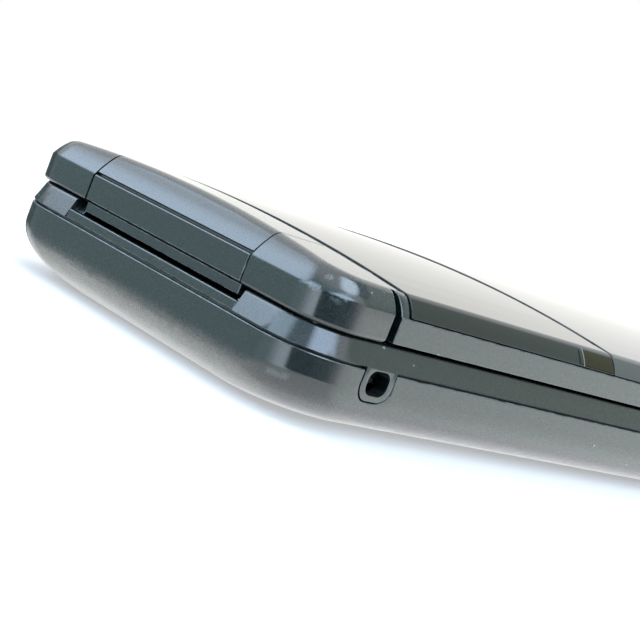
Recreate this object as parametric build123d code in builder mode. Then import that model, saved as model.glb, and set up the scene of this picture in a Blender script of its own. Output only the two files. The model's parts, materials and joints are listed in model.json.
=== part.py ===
from build123d import *
import os
from math import atan, cos, degrees, pi, sin, sqrt

os.makedirs("parts", exist_ok=True)

# Flip phone, closed, lying on its back. Millimetres.
# X is the width, +Y is the hinge end, +Z is up, and the strap eyelet is on the -X side.

# Overall sizes
body_width = 50.0
body_length = 110.0
body_corner = 6.6
half_width = body_width / 2
hinge_end = body_length / 2
far_end = -body_length / 2

# Heights, from the table up
seam_z = 7.25
wall_band = 2.3
ledge_height = 2.2
lid_gap = 0.35
cap_gap = 0.15
band_height = 2.58
crown_height = 3.27
crown_radius = 220.0
ledge_z = seam_z + ledge_height
lid_bottom_z = ledge_z + lid_gap
cap_bottom_z = ledge_z + cap_gap
band_top_z = lid_bottom_z + band_height
crown_z = band_top_z + crown_height
belly_z = seam_z - wall_band
beyond = 1.0
above_all = crown_z + beyond

# Walls, slopes and rounds
cover_wall = 1.1
belly_side_reach = 7.5
belly_end_reach = 5.8
belly_corner_growth = 2.0
belly_steps = 4
ledge_lean = 0.8
ledge_round = 0.4
deck_depth = 0.8
deck_rise = 0.2
lid_wall = 1.5
lid_plate = 0.6
panel_wall = 1.0
edge_slope = 38.6
edge_round = 1.4
under_round = 0.45

# Clearances
fit_gap = 0.05
seam_gap = 0.15
seam_line = 0.28
seam_depth = 0.5
side_gap = 0.2
swing_gap = 0.3
running_gap = 0.05

# Knuckles and lid share one outline, drawn in from the base
upper_side_inset = 0.2
upper_hinge_inset = 0.81
upper_corner = 5.2
upper_width = body_width - 2 * upper_side_inset
upper_front = hinge_end - upper_hinge_inset
upper_back = far_end + upper_side_inset
upper_length = upper_front - upper_back
upper_mid = (upper_front + upper_back) / 2

# Hinge line, barrel and the trough that the barrel turns in
axis_inset = 5.2
axis_rise = 5.2
axis_y = hinge_end - axis_inset
axis_z = seam_z + axis_rise
barrel_width = 26.0
barrel_half = barrel_width / 2
cap_inner = barrel_half + side_gap
cap_reach = 4.2
lid_end_radius = 5.25
lid_end = axis_y - lid_end_radius
rim_reach = 4.4
rim_front = axis_y - rim_reach
rim_depth = 1.15
panel_front = lid_end - rim_depth
rim_drop = 0.2
channel_depth = 1.0
hinge_bore = 1.9
groove_rise = 0.17
groove_z = band_top_z + groove_rise
groove_width = 0.28
groove_depth = 0.7
lower_band_inset = 0.4
lower_band_height = 1.25
lower_front = upper_front - lower_band_inset
barrel_low_z = lid_bottom_z - lower_band_height
sweep_radius = sqrt((lower_front - axis_y) ** 2 + (axis_z - barrel_low_z) ** 2)
trough_radius = sweep_radius + swing_gap
trough_wall = 0.8
trough_trim = 0.45
trough_back = axis_y - trough_radius + trough_trim
notch_side = 1.3
notch_half = barrel_half + notch_side
lip_height = 0.95
lip_step = 0.3
lip_depth = 1.3
lip_set_back = 0.15
lip_z = seam_z + lip_height

# Strap eyelet: a U-shaped tab of the front case that dips into the side of the rear cover
tab_from_hinge = 10.4
tab_y = hinge_end - tab_from_hinge
tab_width = 4.3
tab_drop = 3.2
tab_round = 1.5
tab_depth = 1.6
hole_width = 2.9
hole_height = 2.4
hole_round = 0.9
hole_drop = 1.4
post_radius = 0.8
post_inset = 4.6
post_drop = 2.4

# Deck, keypad pocket and keypad panel
deck_floor_z = seam_z - deck_depth
deck_z = seam_z + deck_rise
deck_inset = cover_wall + fit_gap
pocket_wall = 2.6
pocket_corner = 3.4
pocket_step = 0.9
deck_bridge = 0.85
pocket_front = trough_back - seam_gap - deck_bridge
pocket_back = far_end + pocket_wall
pocket_width = body_width - 2 * pocket_wall
pocket_length = pocket_front - pocket_back
pocket_mid = (pocket_front + pocket_back) / 2
panel_sink = 0.15
panel_thickness = 0.7
panel_z = ledge_z - panel_sink
panel_floor_z = panel_z - panel_thickness

# Keys
key_proud = 0.12
key_travel = 0.25
key_rest_gap = 0.08
key_foot = 0.35
key_flange = 0.4
key_gap = 0.15
key_rib = 1.1
key_bevel = 0.15
key_top_z = panel_z + key_proud
key_foot_z = panel_floor_z - fit_gap - key_foot
dome_top_z = key_foot_z - key_travel - key_rest_gap
dome_radius = 1.9
dome_slope = 38.6
sheet_thickness = 0.15
number_corner = 1.6
number_margin = 0.75
number_pitch_x = (pocket_width - 2 * number_margin) / 3
number_width = number_pitch_x - key_rib - 2 * key_gap
number_rows = 4
number_skirt = 6.3
number_low = pocket_back + number_skirt
nav_radius = 10.0
nav_from_front = 20.1
nav_y = pocket_front - nav_from_front
nav_from_call = 21.5
call_y = nav_y - nav_from_call
number_pitch_y = (call_y - number_low + key_rib / 2 + key_gap) / (number_rows + 1 / 2)
number_y = call_y - number_rows * number_pitch_y
number_height = number_pitch_y - key_rib - 2 * key_gap
nav_waist = 4.6
ok_radius = 4.3
soft_from_ring = 0.95
soft_width = pocket_width / 2 - number_margin - key_rib - nav_radius - soft_from_ring
soft_height = 11.6
soft_corner = 2.4
soft_x = pocket_width / 2 - number_margin - key_rib - soft_width / 2
soft_pitch = 14.0
mic_from_back = 3.2
mic_y = pocket_back + mic_from_back
mic_radius = 2.2
mic_hole = 0.5
mic_height = 1.4

# Board, battery and what hangs under the deck
board_thickness = 0.8
board_inset = 1.6
board_set_back = 0.4
board_front = pocket_front - board_set_back
socket_half = 3.9
port_from_hinge = 42.0
port_y = hinge_end - port_from_hinge
board_past_port = 5.75
board_back = port_y - socket_half - board_past_port
board_length = board_front - board_back
board_half = half_width - cover_wall - board_inset
board_floor_z = deck_floor_z - board_thickness
inside_floor_z = cover_wall + fit_gap
battery_side = 4.4
battery_from_back = 9.0
battery_from_board = 2.2
battery_top_gap = 0.2
battery_lift = 0.8
battery_floor_z = inside_floor_z + battery_lift
rib_half = 12.0
rib_width = 1.0
rib_from_end = 6.0
battery_half = half_width - cover_wall - battery_side
battery_back = far_end + battery_from_back
battery_front = board_back - battery_from_board
screw_inset = 1.8
screw_radius = 0.7
screw_head = 1.4
screw_head_height = 0.6
screw_spots = [(x, y) for x in (screw_inset - board_half, board_half - screw_inset)
               for y in (board_back + screw_inset, board_front - screw_inset)]

# Port cover on the +X side, camera and loudspeaker in the back
port_width = 12.0
port_start = port_y - port_width / 2
port_stop = port_y + port_width / 2
port_height = 3.0
port_drop = 0.95
port_high_z = seam_z - port_drop
port_low_z = port_high_z - port_height
port_wall = 0.9
port_pin = 0.3
port_pin_length = 0.35
port_axis_x = half_width - port_wall / 2
port_axis_z = port_high_z - port_wall / 2
camera_from_hinge = 19.0
camera_y = hinge_end - camera_from_hinge
camera_radius = 4.2
camera_ring = 1.0
camera_side = 8.4
speaker_radius = 5.6
neighbour_gap = 1.0
speaker_x = -camera_side / 2 - neighbour_gap - speaker_radius
speaker_y = camera_y
slot_pitch = 2.2
slot_length = 7.0
slot_width = 1.0
shield_inset = 1.8
shield_height = 1.6
terminal_half = 4.0
terminal_drop = 2.2
terminal_depth = 2.5
shield_front = speaker_y - speaker_radius - neighbour_gap
shield_back = board_back + terminal_depth + neighbour_gap
card_width = 11.5
card_length = 14.5
card_height = 1.5
card_inset = 5.6
card_x = board_half - card_inset - card_width / 2
card_y = camera_y - camera_side / 2 - neighbour_gap - card_length / 2
motor_radius = 4.0
motor_height = 2.7
motor_inset = 15.8
motor_x = board_half - motor_inset
motor_from_port = 1.5
motor_y = port_y - motor_from_port
shield_left = shield_inset - board_half
shield_right = motor_x - motor_radius - neighbour_gap
socket_height = 2.5
socket_depth = 7.0
socket_shell = 0.4
tongue_inset = 1.2
tongue_rise = 0.8
tongue_thickness = 0.8

# Lid inside
lid_plate_z = band_top_z - lid_plate
bezel_sink = 0.1
bezel_thickness = 0.7
bezel_floor_z = lid_bottom_z + bezel_sink
bezel_top_z = bezel_floor_z + bezel_thickness
well_front = lid_end - lid_wall
well_back = upper_back + lid_wall
well_width = upper_width - 2 * lid_wall
well_length = well_front - well_back
well_mid = (well_front + well_back) / 2
well_corner = upper_corner - lid_wall
glass_side = 3.3
glass_corner = 1.2
glass_from_hinge = 13.0
glass_from_back = 11.35
glass_width = well_width - 2 * glass_side
glass_front = well_front - glass_from_hinge
glass_back = well_back + glass_from_back
glass_length = glass_front - glass_back
glass_y = (glass_front + glass_back) / 2
glass_sink = 0.1
module_inset = 1.0
ear_from_back = 5.5
ear_y = well_back + ear_from_back
ear_width = 12.0
ear_length = 5.0
grille_width = 9.0
grille_length = 1.4
lid_screw_radius = 0.6
lid_screw_head = 1.2
lid_screw_head_height = 0.35
lid_boss = 1.4
lid_screw_inset = 2.2
lid_screw_from_back = 4.4
lid_screw_spots = [(x, y) for x in (lid_screw_inset - well_width / 2, well_width / 2 - lid_screw_inset)
                   for y in (well_back + lid_screw_from_back, well_front - lid_screw_inset)]
bumper_radius = 1.3
bumper_x = 14.0
bumper_gap = 0.08

# Panels on the lid
split_from_hinge = 48.5
split_radius = 184.0
split_gap = 0.18
split_y = hinge_end - split_from_hinge
lens_length = 6.1
lens_from_split = 0.5
lens_low = 0.38
lens_height = 1.05
lens_back = split_y + split_radius - sqrt(split_radius ** 2 - half_width ** 2) + lens_from_split
lid_board_half = 16.0
lid_board_from_rim = 2.5
lid_board_from_split = 0.4
lid_board_front = panel_front - lid_board_from_rim
lid_board_back = split_y + lid_board_from_split
sub_half = 15.0
sub_length = 22.0
sub_height = 1.6
sub_from_split = 5.0

# Hinge unit
cap_bore_wall = 3.8
cap_bore_end = half_width - cap_bore_wall
pin_radius = 1.2
pin_end_gap = 1.6
pin_end = cap_bore_end - pin_end_gap
shaft_length = 9.0
bush_reach = 4.0
bush_bore = 1.2
unit_radius = hinge_bore - running_gap
flex_gap = 1.5
flex_left = bush_reach + flex_gap - barrel_half
flex_right = barrel_half - shaft_length - flex_gap
flex_thickness = 0.15
flex_outer = 1.55
flex_inner = 0.85
flex_turns = 1.5
flex_slot = 0.3
flex_tail = 6.0
flex_foot = 2.0
flex_steps_per_turn = 12


def block(x_range, y_range, z_range, mode=Mode.ADD):
    """Box between two limits on each axis."""
    middle = [(low + high) / 2 for low, high in (x_range, y_range, z_range)]
    size = [high - low for low, high in (x_range, y_range, z_range)]
    with Locations(tuple(middle)):
        Box(*size, mode=mode)


def cross_bar(radius, x_range, y, z, mode=Mode.ADD):
    """Round bar along X."""
    with BuildSketch(Plane.YZ.offset(x_range[0])) as profile:
        with Locations((y, z)):
            Circle(radius)
    extrude(profile.sketch, amount=x_range[1] - x_range[0], mode=mode)


def upright(radius, centre, z_range, mode=Mode.ADD):
    """Round post along Z."""
    with BuildSketch(Plane.XY.offset(z_range[0])) as profile:
        with Locations(centre):
            Circle(radius)
    extrude(profile.sketch, amount=z_range[1] - z_range[0], mode=mode)


def long_bar(radius, x, y_range, z, mode=Mode.ADD):
    """Round bar along Y."""
    with BuildSketch(Plane.XZ.offset(-y_range[1])) as profile:
        with Locations((x, z)):
            Circle(radius)
    extrude(profile.sketch, amount=y_range[1] - y_range[0], mode=mode)


def plate(size, corner, centre, z_range, mode=Mode.ADD):
    """Flat plate with round corners."""
    with BuildSketch(Plane.XY.offset(z_range[0])) as profile:
        with Locations(centre):
            RectangleRounded(size[0], size[1], corner)
    extrude(profile.sketch, amount=z_range[1] - z_range[0], mode=mode)


def oblong(size, centre, z_range, mode=Mode.ADD):
    """Flat plate with half-round ends."""
    with BuildSketch(Plane.XY.offset(z_range[0])) as profile:
        with Locations(centre):
            SlotOverall(size[0], size[1])
    extrude(profile.sketch, amount=z_range[1] - z_range[0], mode=mode)


def save(piece, name):
    """Label the solid and write it as its own file."""
    piece.label = name
    export_step(piece, "parts/" + name + ".step")


def upper_form(inset, crest_round):
    """Outline of the knuckles and the lid: straight band, sloped edge and crowned top."""
    with BuildPart() as form:
        with BuildSketch(Plane.XY.offset(seam_z)) as outline:
            with Locations((0, upper_mid)):
                RectangleRounded(upper_width - 2 * inset, upper_length - 2 * inset, upper_corner - inset)
        extrude(amount=band_top_z - seam_z)
        raised = outline.sketch.moved(Location((0, 0, band_top_z - seam_z)))
        extrude(raised, amount=crown_height + panel_wall / 2, taper=edge_slope)
        with BuildSketch(Plane.XZ):
            with Locations((0, crown_z - inset - crown_radius)):
                Circle(crown_radius)
        extrude(amount=body_length, both=True, mode=Mode.INTERSECT)
        if crest_round > 0:
            fillet(form.faces().sort_by(Axis.Z)[-1].edges(), crest_round)
    return form.part


def hull(wall):
    """Outline of the rear cover: straight band, then an underside that curves in to a flat base."""
    with BuildPart() as form:
        plate((body_width - 2 * wall, body_length - 2 * wall), body_corner - wall, (0, 0), (belly_z, seam_z))
        for step in range(belly_steps + 1):
            turn = pi / 2 * step / belly_steps
            drawn_in = 1 - cos(turn)
            width = body_width - 2 * (wall + belly_side_reach * drawn_in)
            length = body_length - 2 * (wall + belly_end_reach * drawn_in)
            with BuildSketch(Plane.XY.offset(belly_z - (belly_z - wall) * sin(turn))):
                RectangleRounded(width, length, body_corner - wall + belly_corner_growth * drawn_in)
        loft()
    return form.part


outer_form = upper_form(0, edge_round)
inner_form = upper_form(panel_wall, 0)
rim_form = upper_form(rim_drop, edge_round)
outer_hull = hull(0)

# Rear cover: a tub that takes the whole back and clips to the front case
with BuildPart() as rear_cover:
    add(outer_hull)
    add(hull(cover_wall), mode=Mode.SUBTRACT)
    # dark line along the seam, cut into the top of the wall
    with BuildSketch(Plane.XY.offset(seam_z)):
        RectangleRounded(body_width, body_length, body_corner)
        RectangleRounded(body_width - 2 * seam_depth, body_length - 2 * seam_depth, body_corner - seam_depth,
                         mode=Mode.SUBTRACT)
    extrude(amount=-seam_line, mode=Mode.SUBTRACT)
    # ribs that the battery lies on
    for rib_y in (battery_back + rib_from_end, battery_front - rib_from_end):
        block((-rib_half, rib_half), (rib_y - rib_width / 2, rib_y + rib_width / 2),
              (cover_wall / 2, battery_floor_z - fit_gap))
    # opening round the strap eyelet
    with BuildSketch(Plane.YZ.offset(-body_width)):
        with Locations((tab_y, seam_z)):
            RectangleRounded(tab_width + 2 * seam_gap, 2 * (tab_drop + seam_gap), tab_round + seam_gap)
    extrude(amount=body_width - half_width + 2 * cover_wall, mode=Mode.SUBTRACT)
    # opening for the port cover, with a hole at each end for its pins
    block((half_width - 2 * cover_wall, body_width), (port_start - seam_gap, port_stop + seam_gap),
          (port_low_z - seam_gap, port_high_z + seam_gap), Mode.SUBTRACT)
    long_bar(port_pin + running_gap, port_axis_x,
             (port_start - seam_gap - port_pin_length, port_stop + seam_gap + port_pin_length), port_axis_z,
             Mode.SUBTRACT)
    # camera opening, loudspeaker slots and a nail slot for lifting the cover
    upright(camera_radius, (0, camera_y), (-beyond, 2 * cover_wall), Mode.SUBTRACT)
    for step in (-1, 0, 1):
        slot_spot = (speaker_x, speaker_y + step * slot_pitch)
        oblong((slot_length, slot_width), slot_spot, (-beyond, 2 * cover_wall), Mode.SUBTRACT)
    block((-slot_length / 2, slot_length / 2), (far_end - beyond, far_end + cover_wall / 2),
          (seam_z - slot_width / 2, seam_z + beyond), Mode.SUBTRACT)
save(rear_cover.part, "rear_cover")

# Port cover: a flap of the same wall that swings up and out on two short pins
with BuildPart() as port_cover:
    block((half_width - port_wall, half_width), (port_start, port_stop), (port_low_z, port_axis_z))
    long_bar(port_wall / 2, port_axis_x, (port_start, port_stop), port_axis_z)
    add(outer_hull, mode=Mode.INTERSECT)
    long_bar(port_pin, port_axis_x, (port_start - seam_gap - port_pin_length + fit_gap,
                                     port_stop + seam_gap + port_pin_length - fit_gap), port_axis_z)
save(port_cover.part, "port_cover")

# Tab round the strap eyelet, flush with the side of the rear cover
with BuildPart() as eyelet_tab:
    with BuildSketch(Plane.YZ.offset(-half_width)):
        with Locations((tab_y, seam_z)):
            RectangleRounded(tab_width, 2 * tab_drop, tab_round)
        with Locations((tab_y, seam_z + tab_drop)):
            Rectangle(tab_width, 2 * tab_drop, mode=Mode.SUBTRACT)
    extrude(amount=tab_depth)
    add(outer_hull, mode=Mode.INTERSECT)

# Front case: sloping ledge, deck under the keypad, strap eyelet and hinge notch
with BuildPart() as front_case:
    with BuildSketch(Plane.XY.offset(seam_z)):
        RectangleRounded(body_width, body_length, body_corner)
    extrude(amount=ledge_height, taper=degrees(atan(ledge_lean / ledge_height)))
    fillet(front_case.faces().sort_by(Axis.Z)[-1].edges(), ledge_round)
    plate((body_width - 2 * deck_inset, body_length - 2 * deck_inset), body_corner - deck_inset, (0, 0),
          (deck_floor_z, seam_z))
    # keypad pocket with a step that carries the panel
    plate((pocket_width, pocket_length), pocket_corner, (0, pocket_mid), (panel_floor_z, above_all),
          Mode.SUBTRACT)
    plate((pocket_width - 2 * pocket_step, pocket_length - 2 * pocket_step), pocket_corner - pocket_step,
          (0, pocket_mid), (deck_z, above_all), Mode.SUBTRACT)
    # notch for the barrel, with a sill in front and an opening for the trough behind it
    block((-notch_half, notch_half), (trough_back - seam_gap, hinge_end + beyond),
          (seam_z + lip_step, above_all), Mode.SUBTRACT)
    block((-notch_half, notch_half), (hinge_end - deck_inset, hinge_end + beyond), (seam_z, above_all),
          Mode.SUBTRACT)
    block((-notch_half, notch_half), (trough_back - seam_gap, hinge_end - lip_depth - seam_gap),
          (0, above_all), Mode.SUBTRACT)
    # strap eyelet, and the post inside that the strap hooks over
    add(eyelet_tab.part)
    with BuildSketch(Plane.YZ.offset(-body_width)):
        with Locations((tab_y, seam_z - hole_drop)):
            RectangleRounded(hole_width, hole_height, hole_round)
    extrude(amount=body_width - half_width + 2 * tab_depth, mode=Mode.SUBTRACT)
    upright(post_radius, (post_inset - half_width, tab_y), (deck_floor_z - post_drop, deck_floor_z))
    # microphone hole and screw holes
    upright(mic_hole, (0, mic_y), (0, above_all), Mode.SUBTRACT)
    for spot in screw_spots:
        upright(screw_radius, spot, (0, seam_z), Mode.SUBTRACT)
save(front_case.part, "front_case")

# Lip and trough: the strip that hooks over the sill under the barrel, and the bed that the barrel turns in
lip_x = (fit_gap - notch_half, notch_half - fit_gap)
lip_back = hinge_end - lip_depth - seam_gap - fit_gap
with BuildPart() as hinge_lip:
    block(lip_x, (lip_back, hinge_end - lip_set_back), (seam_z + lip_step, lip_z))
    block(lip_x, (hinge_end - deck_inset + fit_gap, hinge_end - lip_set_back), (seam_z, lip_z))
    block(lip_x, (trough_back, lip_back), (axis_z - trough_radius - trough_wall, panel_z))
    block((-notch_half, notch_half), (axis_y, hinge_end + beyond), (lip_z, above_all), Mode.SUBTRACT)
    cross_bar(trough_radius, (-notch_half, notch_half), axis_y, axis_z, Mode.SUBTRACT)
save(hinge_lip.part, "hinge_lip")

# Knuckles: hollow caps that stand on the ledge and hold the hinge unit
with BuildPart() as hinge_cap_right:
    add(outer_form)
    block((cap_inner, body_width), (axis_y - cap_reach, hinge_end), (cap_bottom_z, above_all), Mode.INTERSECT)
    fillet(hinge_cap_right.faces().sort_by(Axis.Z)[0].edges(), under_round)
    block((notch_half + seam_gap, half_width - pocket_wall),
          (axis_y - cap_reach + under_round, upper_front - lid_wall), (ledge_z, axis_z))
    cross_bar(unit_radius, (cap_inner - beyond, cap_bore_end), axis_y, axis_z, Mode.SUBTRACT)
with BuildPart() as hinge_cap_left:
    add(hinge_cap_right.part)
    mirror(about=Plane.YZ, mode=Mode.REPLACE)
save(hinge_cap_right.part, "hinge_cap_right")
save(hinge_cap_left.part, "hinge_cap_left")

# Lid housing: side band, rim at the hinge, plate between the displays, and the lower half of the barrel
with BuildPart() as barrel_foot:
    cross_bar(sweep_radius, (-barrel_half, barrel_half), axis_y, axis_z)
    block((-barrel_half, barrel_half), (axis_y - sweep_radius, lower_front),
          (barrel_low_z, lid_bottom_z + under_round), Mode.INTERSECT)
with BuildPart() as rim_relief:
    add(outer_form)
    block((-body_width, body_width), (panel_front, axis_y), (band_top_z, above_all), Mode.INTERSECT)
    add(rim_form, mode=Mode.SUBTRACT)
with BuildPart() as lid_housing:
    add(outer_form)
    block((-body_width, body_width), (far_end, hinge_end), (lid_bottom_z, above_all), Mode.INTERSECT)
    block((-body_width, body_width), (far_end, panel_front), (band_top_z, above_all), Mode.SUBTRACT)
    # rim a little lower than the panel, and a channel between the rim and the barrel
    add(rim_relief.part, mode=Mode.SUBTRACT)
    block((-barrel_half, barrel_half), (lid_end, rim_front), (crown_z - channel_depth, above_all),
          Mode.SUBTRACT)
    plate((well_width, well_length), well_corner, (0, well_mid), (lid_bottom_z - beyond, lid_plate_z),
          Mode.SUBTRACT)
    # room for the knuckles, round about the hinge line above it and straight below it
    for side in (-1, 1):
        x_range = sorted((side * barrel_half, side * body_width))
        cross_bar(lid_end_radius, x_range, axis_y, axis_z, Mode.SUBTRACT)
        block(x_range, (lid_end, hinge_end), (0, axis_z), Mode.SUBTRACT)
        block(x_range, (axis_y, hinge_end), (0, above_all), Mode.SUBTRACT)
    # barrel, open at the top for its cover
    block((-barrel_half, barrel_half), (rim_front, hinge_end), (groove_z, above_all), Mode.SUBTRACT)
    add(barrel_foot.part)
    cross_bar(hinge_bore, (-body_width, body_width), axis_y, axis_z, Mode.SUBTRACT)
    block((flex_left - fit_gap, flex_right + fit_gap), (panel_front - beyond, axis_y),
          (axis_z + flex_outer - flex_slot / 2, axis_z + flex_outer + flex_slot / 2), Mode.SUBTRACT)
    # bosses for the lid screws
    for spot in lid_screw_spots:
        upright(lid_boss, spot, (bezel_top_z, lid_plate_z))
        upright(lid_screw_radius, spot, (0, band_top_z - lid_plate / 2), Mode.SUBTRACT)
save(lid_housing.part, "lid_housing")

# Barrel cover: the sloped top of the barrel, above a dark groove
with BuildPart() as barrel_cover:
    add(outer_form)
    block((-barrel_half, barrel_half), (rim_front + split_gap, hinge_end), (groove_z, above_all),
          Mode.INTERSECT)
    block((-barrel_half, barrel_half), (upper_front - groove_depth, hinge_end),
          (groove_z - beyond, groove_z + groove_width), Mode.SUBTRACT)
    cross_bar(hinge_bore, (-body_width, body_width), axis_y, axis_z, Mode.SUBTRACT)
    block((flex_left - fit_gap, flex_right + fit_gap), (panel_front, axis_y),
          (axis_z + flex_outer - flex_slot / 2, axis_z + flex_outer + flex_slot / 2), Mode.SUBTRACT)
save(barrel_cover.part, "barrel_cover")

# Glossy panels on the lid, split by a shallow arc, and the lens at its end
lens_x = (-body_width, panel_wall + crown_height - half_width)
lens_y = (lens_back, lens_back + lens_length)
lens_z = (band_top_z + lens_low, band_top_z + lens_low + lens_height)
with BuildPart() as cover_panel:
    add(outer_form)
    block((-body_width, body_width), (far_end, panel_front - split_gap), (band_top_z, above_all),
          Mode.INTERSECT)
    add(inner_form, mode=Mode.SUBTRACT)
    upright(split_radius, (0, split_y + split_radius), (0, above_all), Mode.INTERSECT)
    block(lens_x, lens_y, lens_z, Mode.SUBTRACT)
save(cover_panel.part, "cover_panel")
with BuildPart() as window_panel:
    add(outer_form)
    block((-body_width, body_width), (far_end, panel_front), (band_top_z, above_all), Mode.INTERSECT)
    add(inner_form, mode=Mode.SUBTRACT)
    upright(split_radius + split_gap, (0, split_y + split_radius), (0, above_all), Mode.SUBTRACT)
save(window_panel.part, "window_panel")
with BuildPart() as indicator_lens:
    add(outer_form)
    block(lens_x, (lens_y[0] + fit_gap, lens_y[1] - fit_gap), (lens_z[0] + fit_gap, lens_z[1] - fit_gap),
          Mode.INTERSECT)
    add(inner_form, mode=Mode.SUBTRACT)
save(indicator_lens.part, "indicator_lens")

# Inner face of the lid
with BuildPart() as display_bezel:
    plate((well_width - 2 * fit_gap, well_length - 2 * fit_gap), well_corner - fit_gap, (0, well_mid),
          (bezel_floor_z, bezel_top_z))
    plate((glass_width, glass_length), glass_corner, (0, glass_y), (0, above_all), Mode.SUBTRACT)
    oblong((grille_width, grille_length), (0, ear_y), (0, above_all), Mode.SUBTRACT)
    for spot in lid_screw_spots:
        upright(lid_screw_radius, spot, (0, above_all), Mode.SUBTRACT)
        upright(lid_screw_head + fit_gap, spot, (0, bezel_floor_z + lid_screw_head_height), Mode.SUBTRACT)
save(display_bezel.part, "display_bezel")
with BuildPart() as display_glass:
    plate((glass_width - 2 * fit_gap, glass_length - 2 * fit_gap), glass_corner - fit_gap, (0, glass_y),
          (bezel_floor_z + glass_sink, bezel_top_z))
save(display_glass.part, "display_glass")
with BuildPart() as display_module:
    plate((glass_width - 2 * module_inset, glass_length - 2 * module_inset), glass_corner, (0, glass_y),
          (bezel_top_z, lid_plate_z))
save(display_module.part, "display_module")
with BuildPart() as earpiece:
    oblong((ear_width, ear_length), (0, ear_y), (bezel_top_z, lid_plate_z))
save(earpiece.part, "earpiece")
with BuildPart() as earpiece_grille:
    oblong((grille_width - 2 * fit_gap, grille_length - 2 * fit_gap), (0, ear_y),
           (bezel_floor_z + glass_sink, bezel_top_z))
save(earpiece_grille.part, "earpiece_grille")
with BuildPart() as lid_bumpers:
    for x in (-bumper_x, bumper_x):
        upright(bumper_radius, (x, ear_y), (panel_z + bumper_gap, bezel_floor_z))
save(lid_bumpers.part, "lid_bumpers")
with BuildPart() as lid_screws:
    for spot in lid_screw_spots:
        upright(lid_screw_head, spot, (bezel_floor_z, bezel_floor_z + lid_screw_head_height))
        upright(lid_screw_radius, spot, (bezel_floor_z, band_top_z - lid_plate / 2))
save(lid_screws.part, "lid_screws")

# Behind the lid panels
with BuildPart() as lid_board:
    plate((2 * lid_board_half, lid_board_front - lid_board_back), glass_corner,
          (0, (lid_board_front + lid_board_back) / 2), (band_top_z, band_top_z + board_thickness))
save(lid_board.part, "lid_board")
with BuildPart() as sub_display:
    plate((2 * sub_half, sub_length), glass_corner, (0, split_y - sub_from_split - sub_length / 2),
          (band_top_z, band_top_z + sub_height))
save(sub_display.part, "sub_display")

# Hinge unit: sprung housing in the right knuckle, hollow bush in the left one, shaft in the barrel
with BuildPart() as hinge_housing:
    cross_bar(unit_radius, (cap_inner, cap_bore_end), axis_y, axis_z)
    cross_bar(pin_radius + running_gap, (cap_inner - beyond, pin_end + side_gap), axis_y, axis_z,
              Mode.SUBTRACT)
save(hinge_housing.part, "hinge_housing")
with BuildPart() as hinge_shaft:
    cross_bar(hinge_bore, (barrel_half - shaft_length, barrel_half), axis_y, axis_z)
    cross_bar(pin_radius, (barrel_half, pin_end), axis_y, axis_z)
save(hinge_shaft.part, "hinge_shaft")
with BuildPart() as hinge_bush:
    cross_bar(unit_radius, (-cap_bore_end, bush_reach - barrel_half), axis_y, axis_z)
    cross_bar(bush_bore, (-body_width, 0), axis_y, axis_z, Mode.SUBTRACT)
save(hinge_bush.part, "hinge_bush")

# Flat cable: wound in the barrel so that it can turn, with a tail to the lid board
wind_steps = int(flex_steps_per_turn * flex_turns)
tail_y = panel_front - flex_tail
tail_z = axis_z + flex_outer


def wind(radius_offset):
    """Points along the spiral, from the tail inwards."""
    points = []
    for step in range(wind_steps + 1):
        share = step / wind_steps
        angle = pi / 2 - 2 * pi * flex_turns * share
        radius = flex_outer - (flex_outer - flex_inner) * share + radius_offset
        points.append((axis_y + radius * cos(angle), axis_z + radius * sin(angle)))
    return points


with BuildPart() as hinge_flex:
    with BuildSketch(Plane.YZ.offset(flex_left)):
        with BuildLine():
            outer_wind = wind(flex_thickness / 2)
            inner_wind = wind(-flex_thickness / 2)
            Polyline((tail_y, tail_z + flex_thickness / 2), *outer_wind, *reversed(inner_wind),
                     (tail_y, tail_z - flex_thickness / 2), close=True)
        make_face()
    extrude(amount=flex_right - flex_left)
    block((flex_left, flex_right), (tail_y, tail_y + flex_foot), (band_top_z + board_thickness, tail_z))
save(hinge_flex.part, "hinge_flex")

# Keypad panel, with a hole for each key
number_spots = [((column - 1) * number_pitch_x, number_y + row * number_pitch_y)
                for row in range(number_rows) for column in range(3)]
call_spots = [((column - 1) * number_pitch_x, call_y) for column in range(3)]
soft_spots = [(x, nav_y + y) for y in (soft_pitch / 2, -soft_pitch / 2) for x in (-soft_x, soft_x)]
with BuildPart() as keypad_panel:
    plate((pocket_width - 2 * fit_gap, pocket_length - 2 * fit_gap), pocket_corner - fit_gap, (0, pocket_mid),
          (panel_floor_z, panel_z))
    with BuildSketch(Plane.XY.offset(panel_floor_z)):
        with Locations(*number_spots, *call_spots):
            RectangleRounded(number_width + 2 * key_gap, number_height + 2 * key_gap, number_corner + key_gap)
        with Locations(*soft_spots):
            RectangleRounded(soft_width + 2 * key_gap, soft_height + 2 * key_gap, soft_corner + key_gap)
        with Locations((0, nav_y)):
            Circle(nav_radius + key_gap)
        with Locations((0, mic_y)):
            Circle(mic_hole)
    extrude(amount=panel_thickness, mode=Mode.SUBTRACT)
save(keypad_panel.part, "keypad_panel")

# Contact sheet under the keys, with a dome for each contact
nav_contact = (nav_radius + nav_waist) / 2
nav_contacts = [(0, nav_y), (0, nav_y + nav_contact), (0, nav_y - nav_contact),
                (nav_contact, nav_y), (-nav_contact, nav_y)]
with BuildPart() as dome_sheet:
    plate((pocket_width - 2 * pocket_step - 2 * seam_gap, pocket_length - 2 * pocket_step - 2 * seam_gap),
          pocket_corner - pocket_step, (0, pocket_mid), (deck_z, deck_z + sheet_thickness))
    upright(2 * mic_hole, (0, mic_y), (0, above_all), Mode.SUBTRACT)
    with BuildSketch(Plane.XY.offset(deck_z + sheet_thickness)):
        with Locations(*number_spots, *call_spots, *soft_spots, *nav_contacts):
            Circle(dome_radius)
    extrude(amount=dome_top_z - deck_z - sheet_thickness, taper=dome_slope)
save(dome_sheet.part, "dome_sheet")


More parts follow.
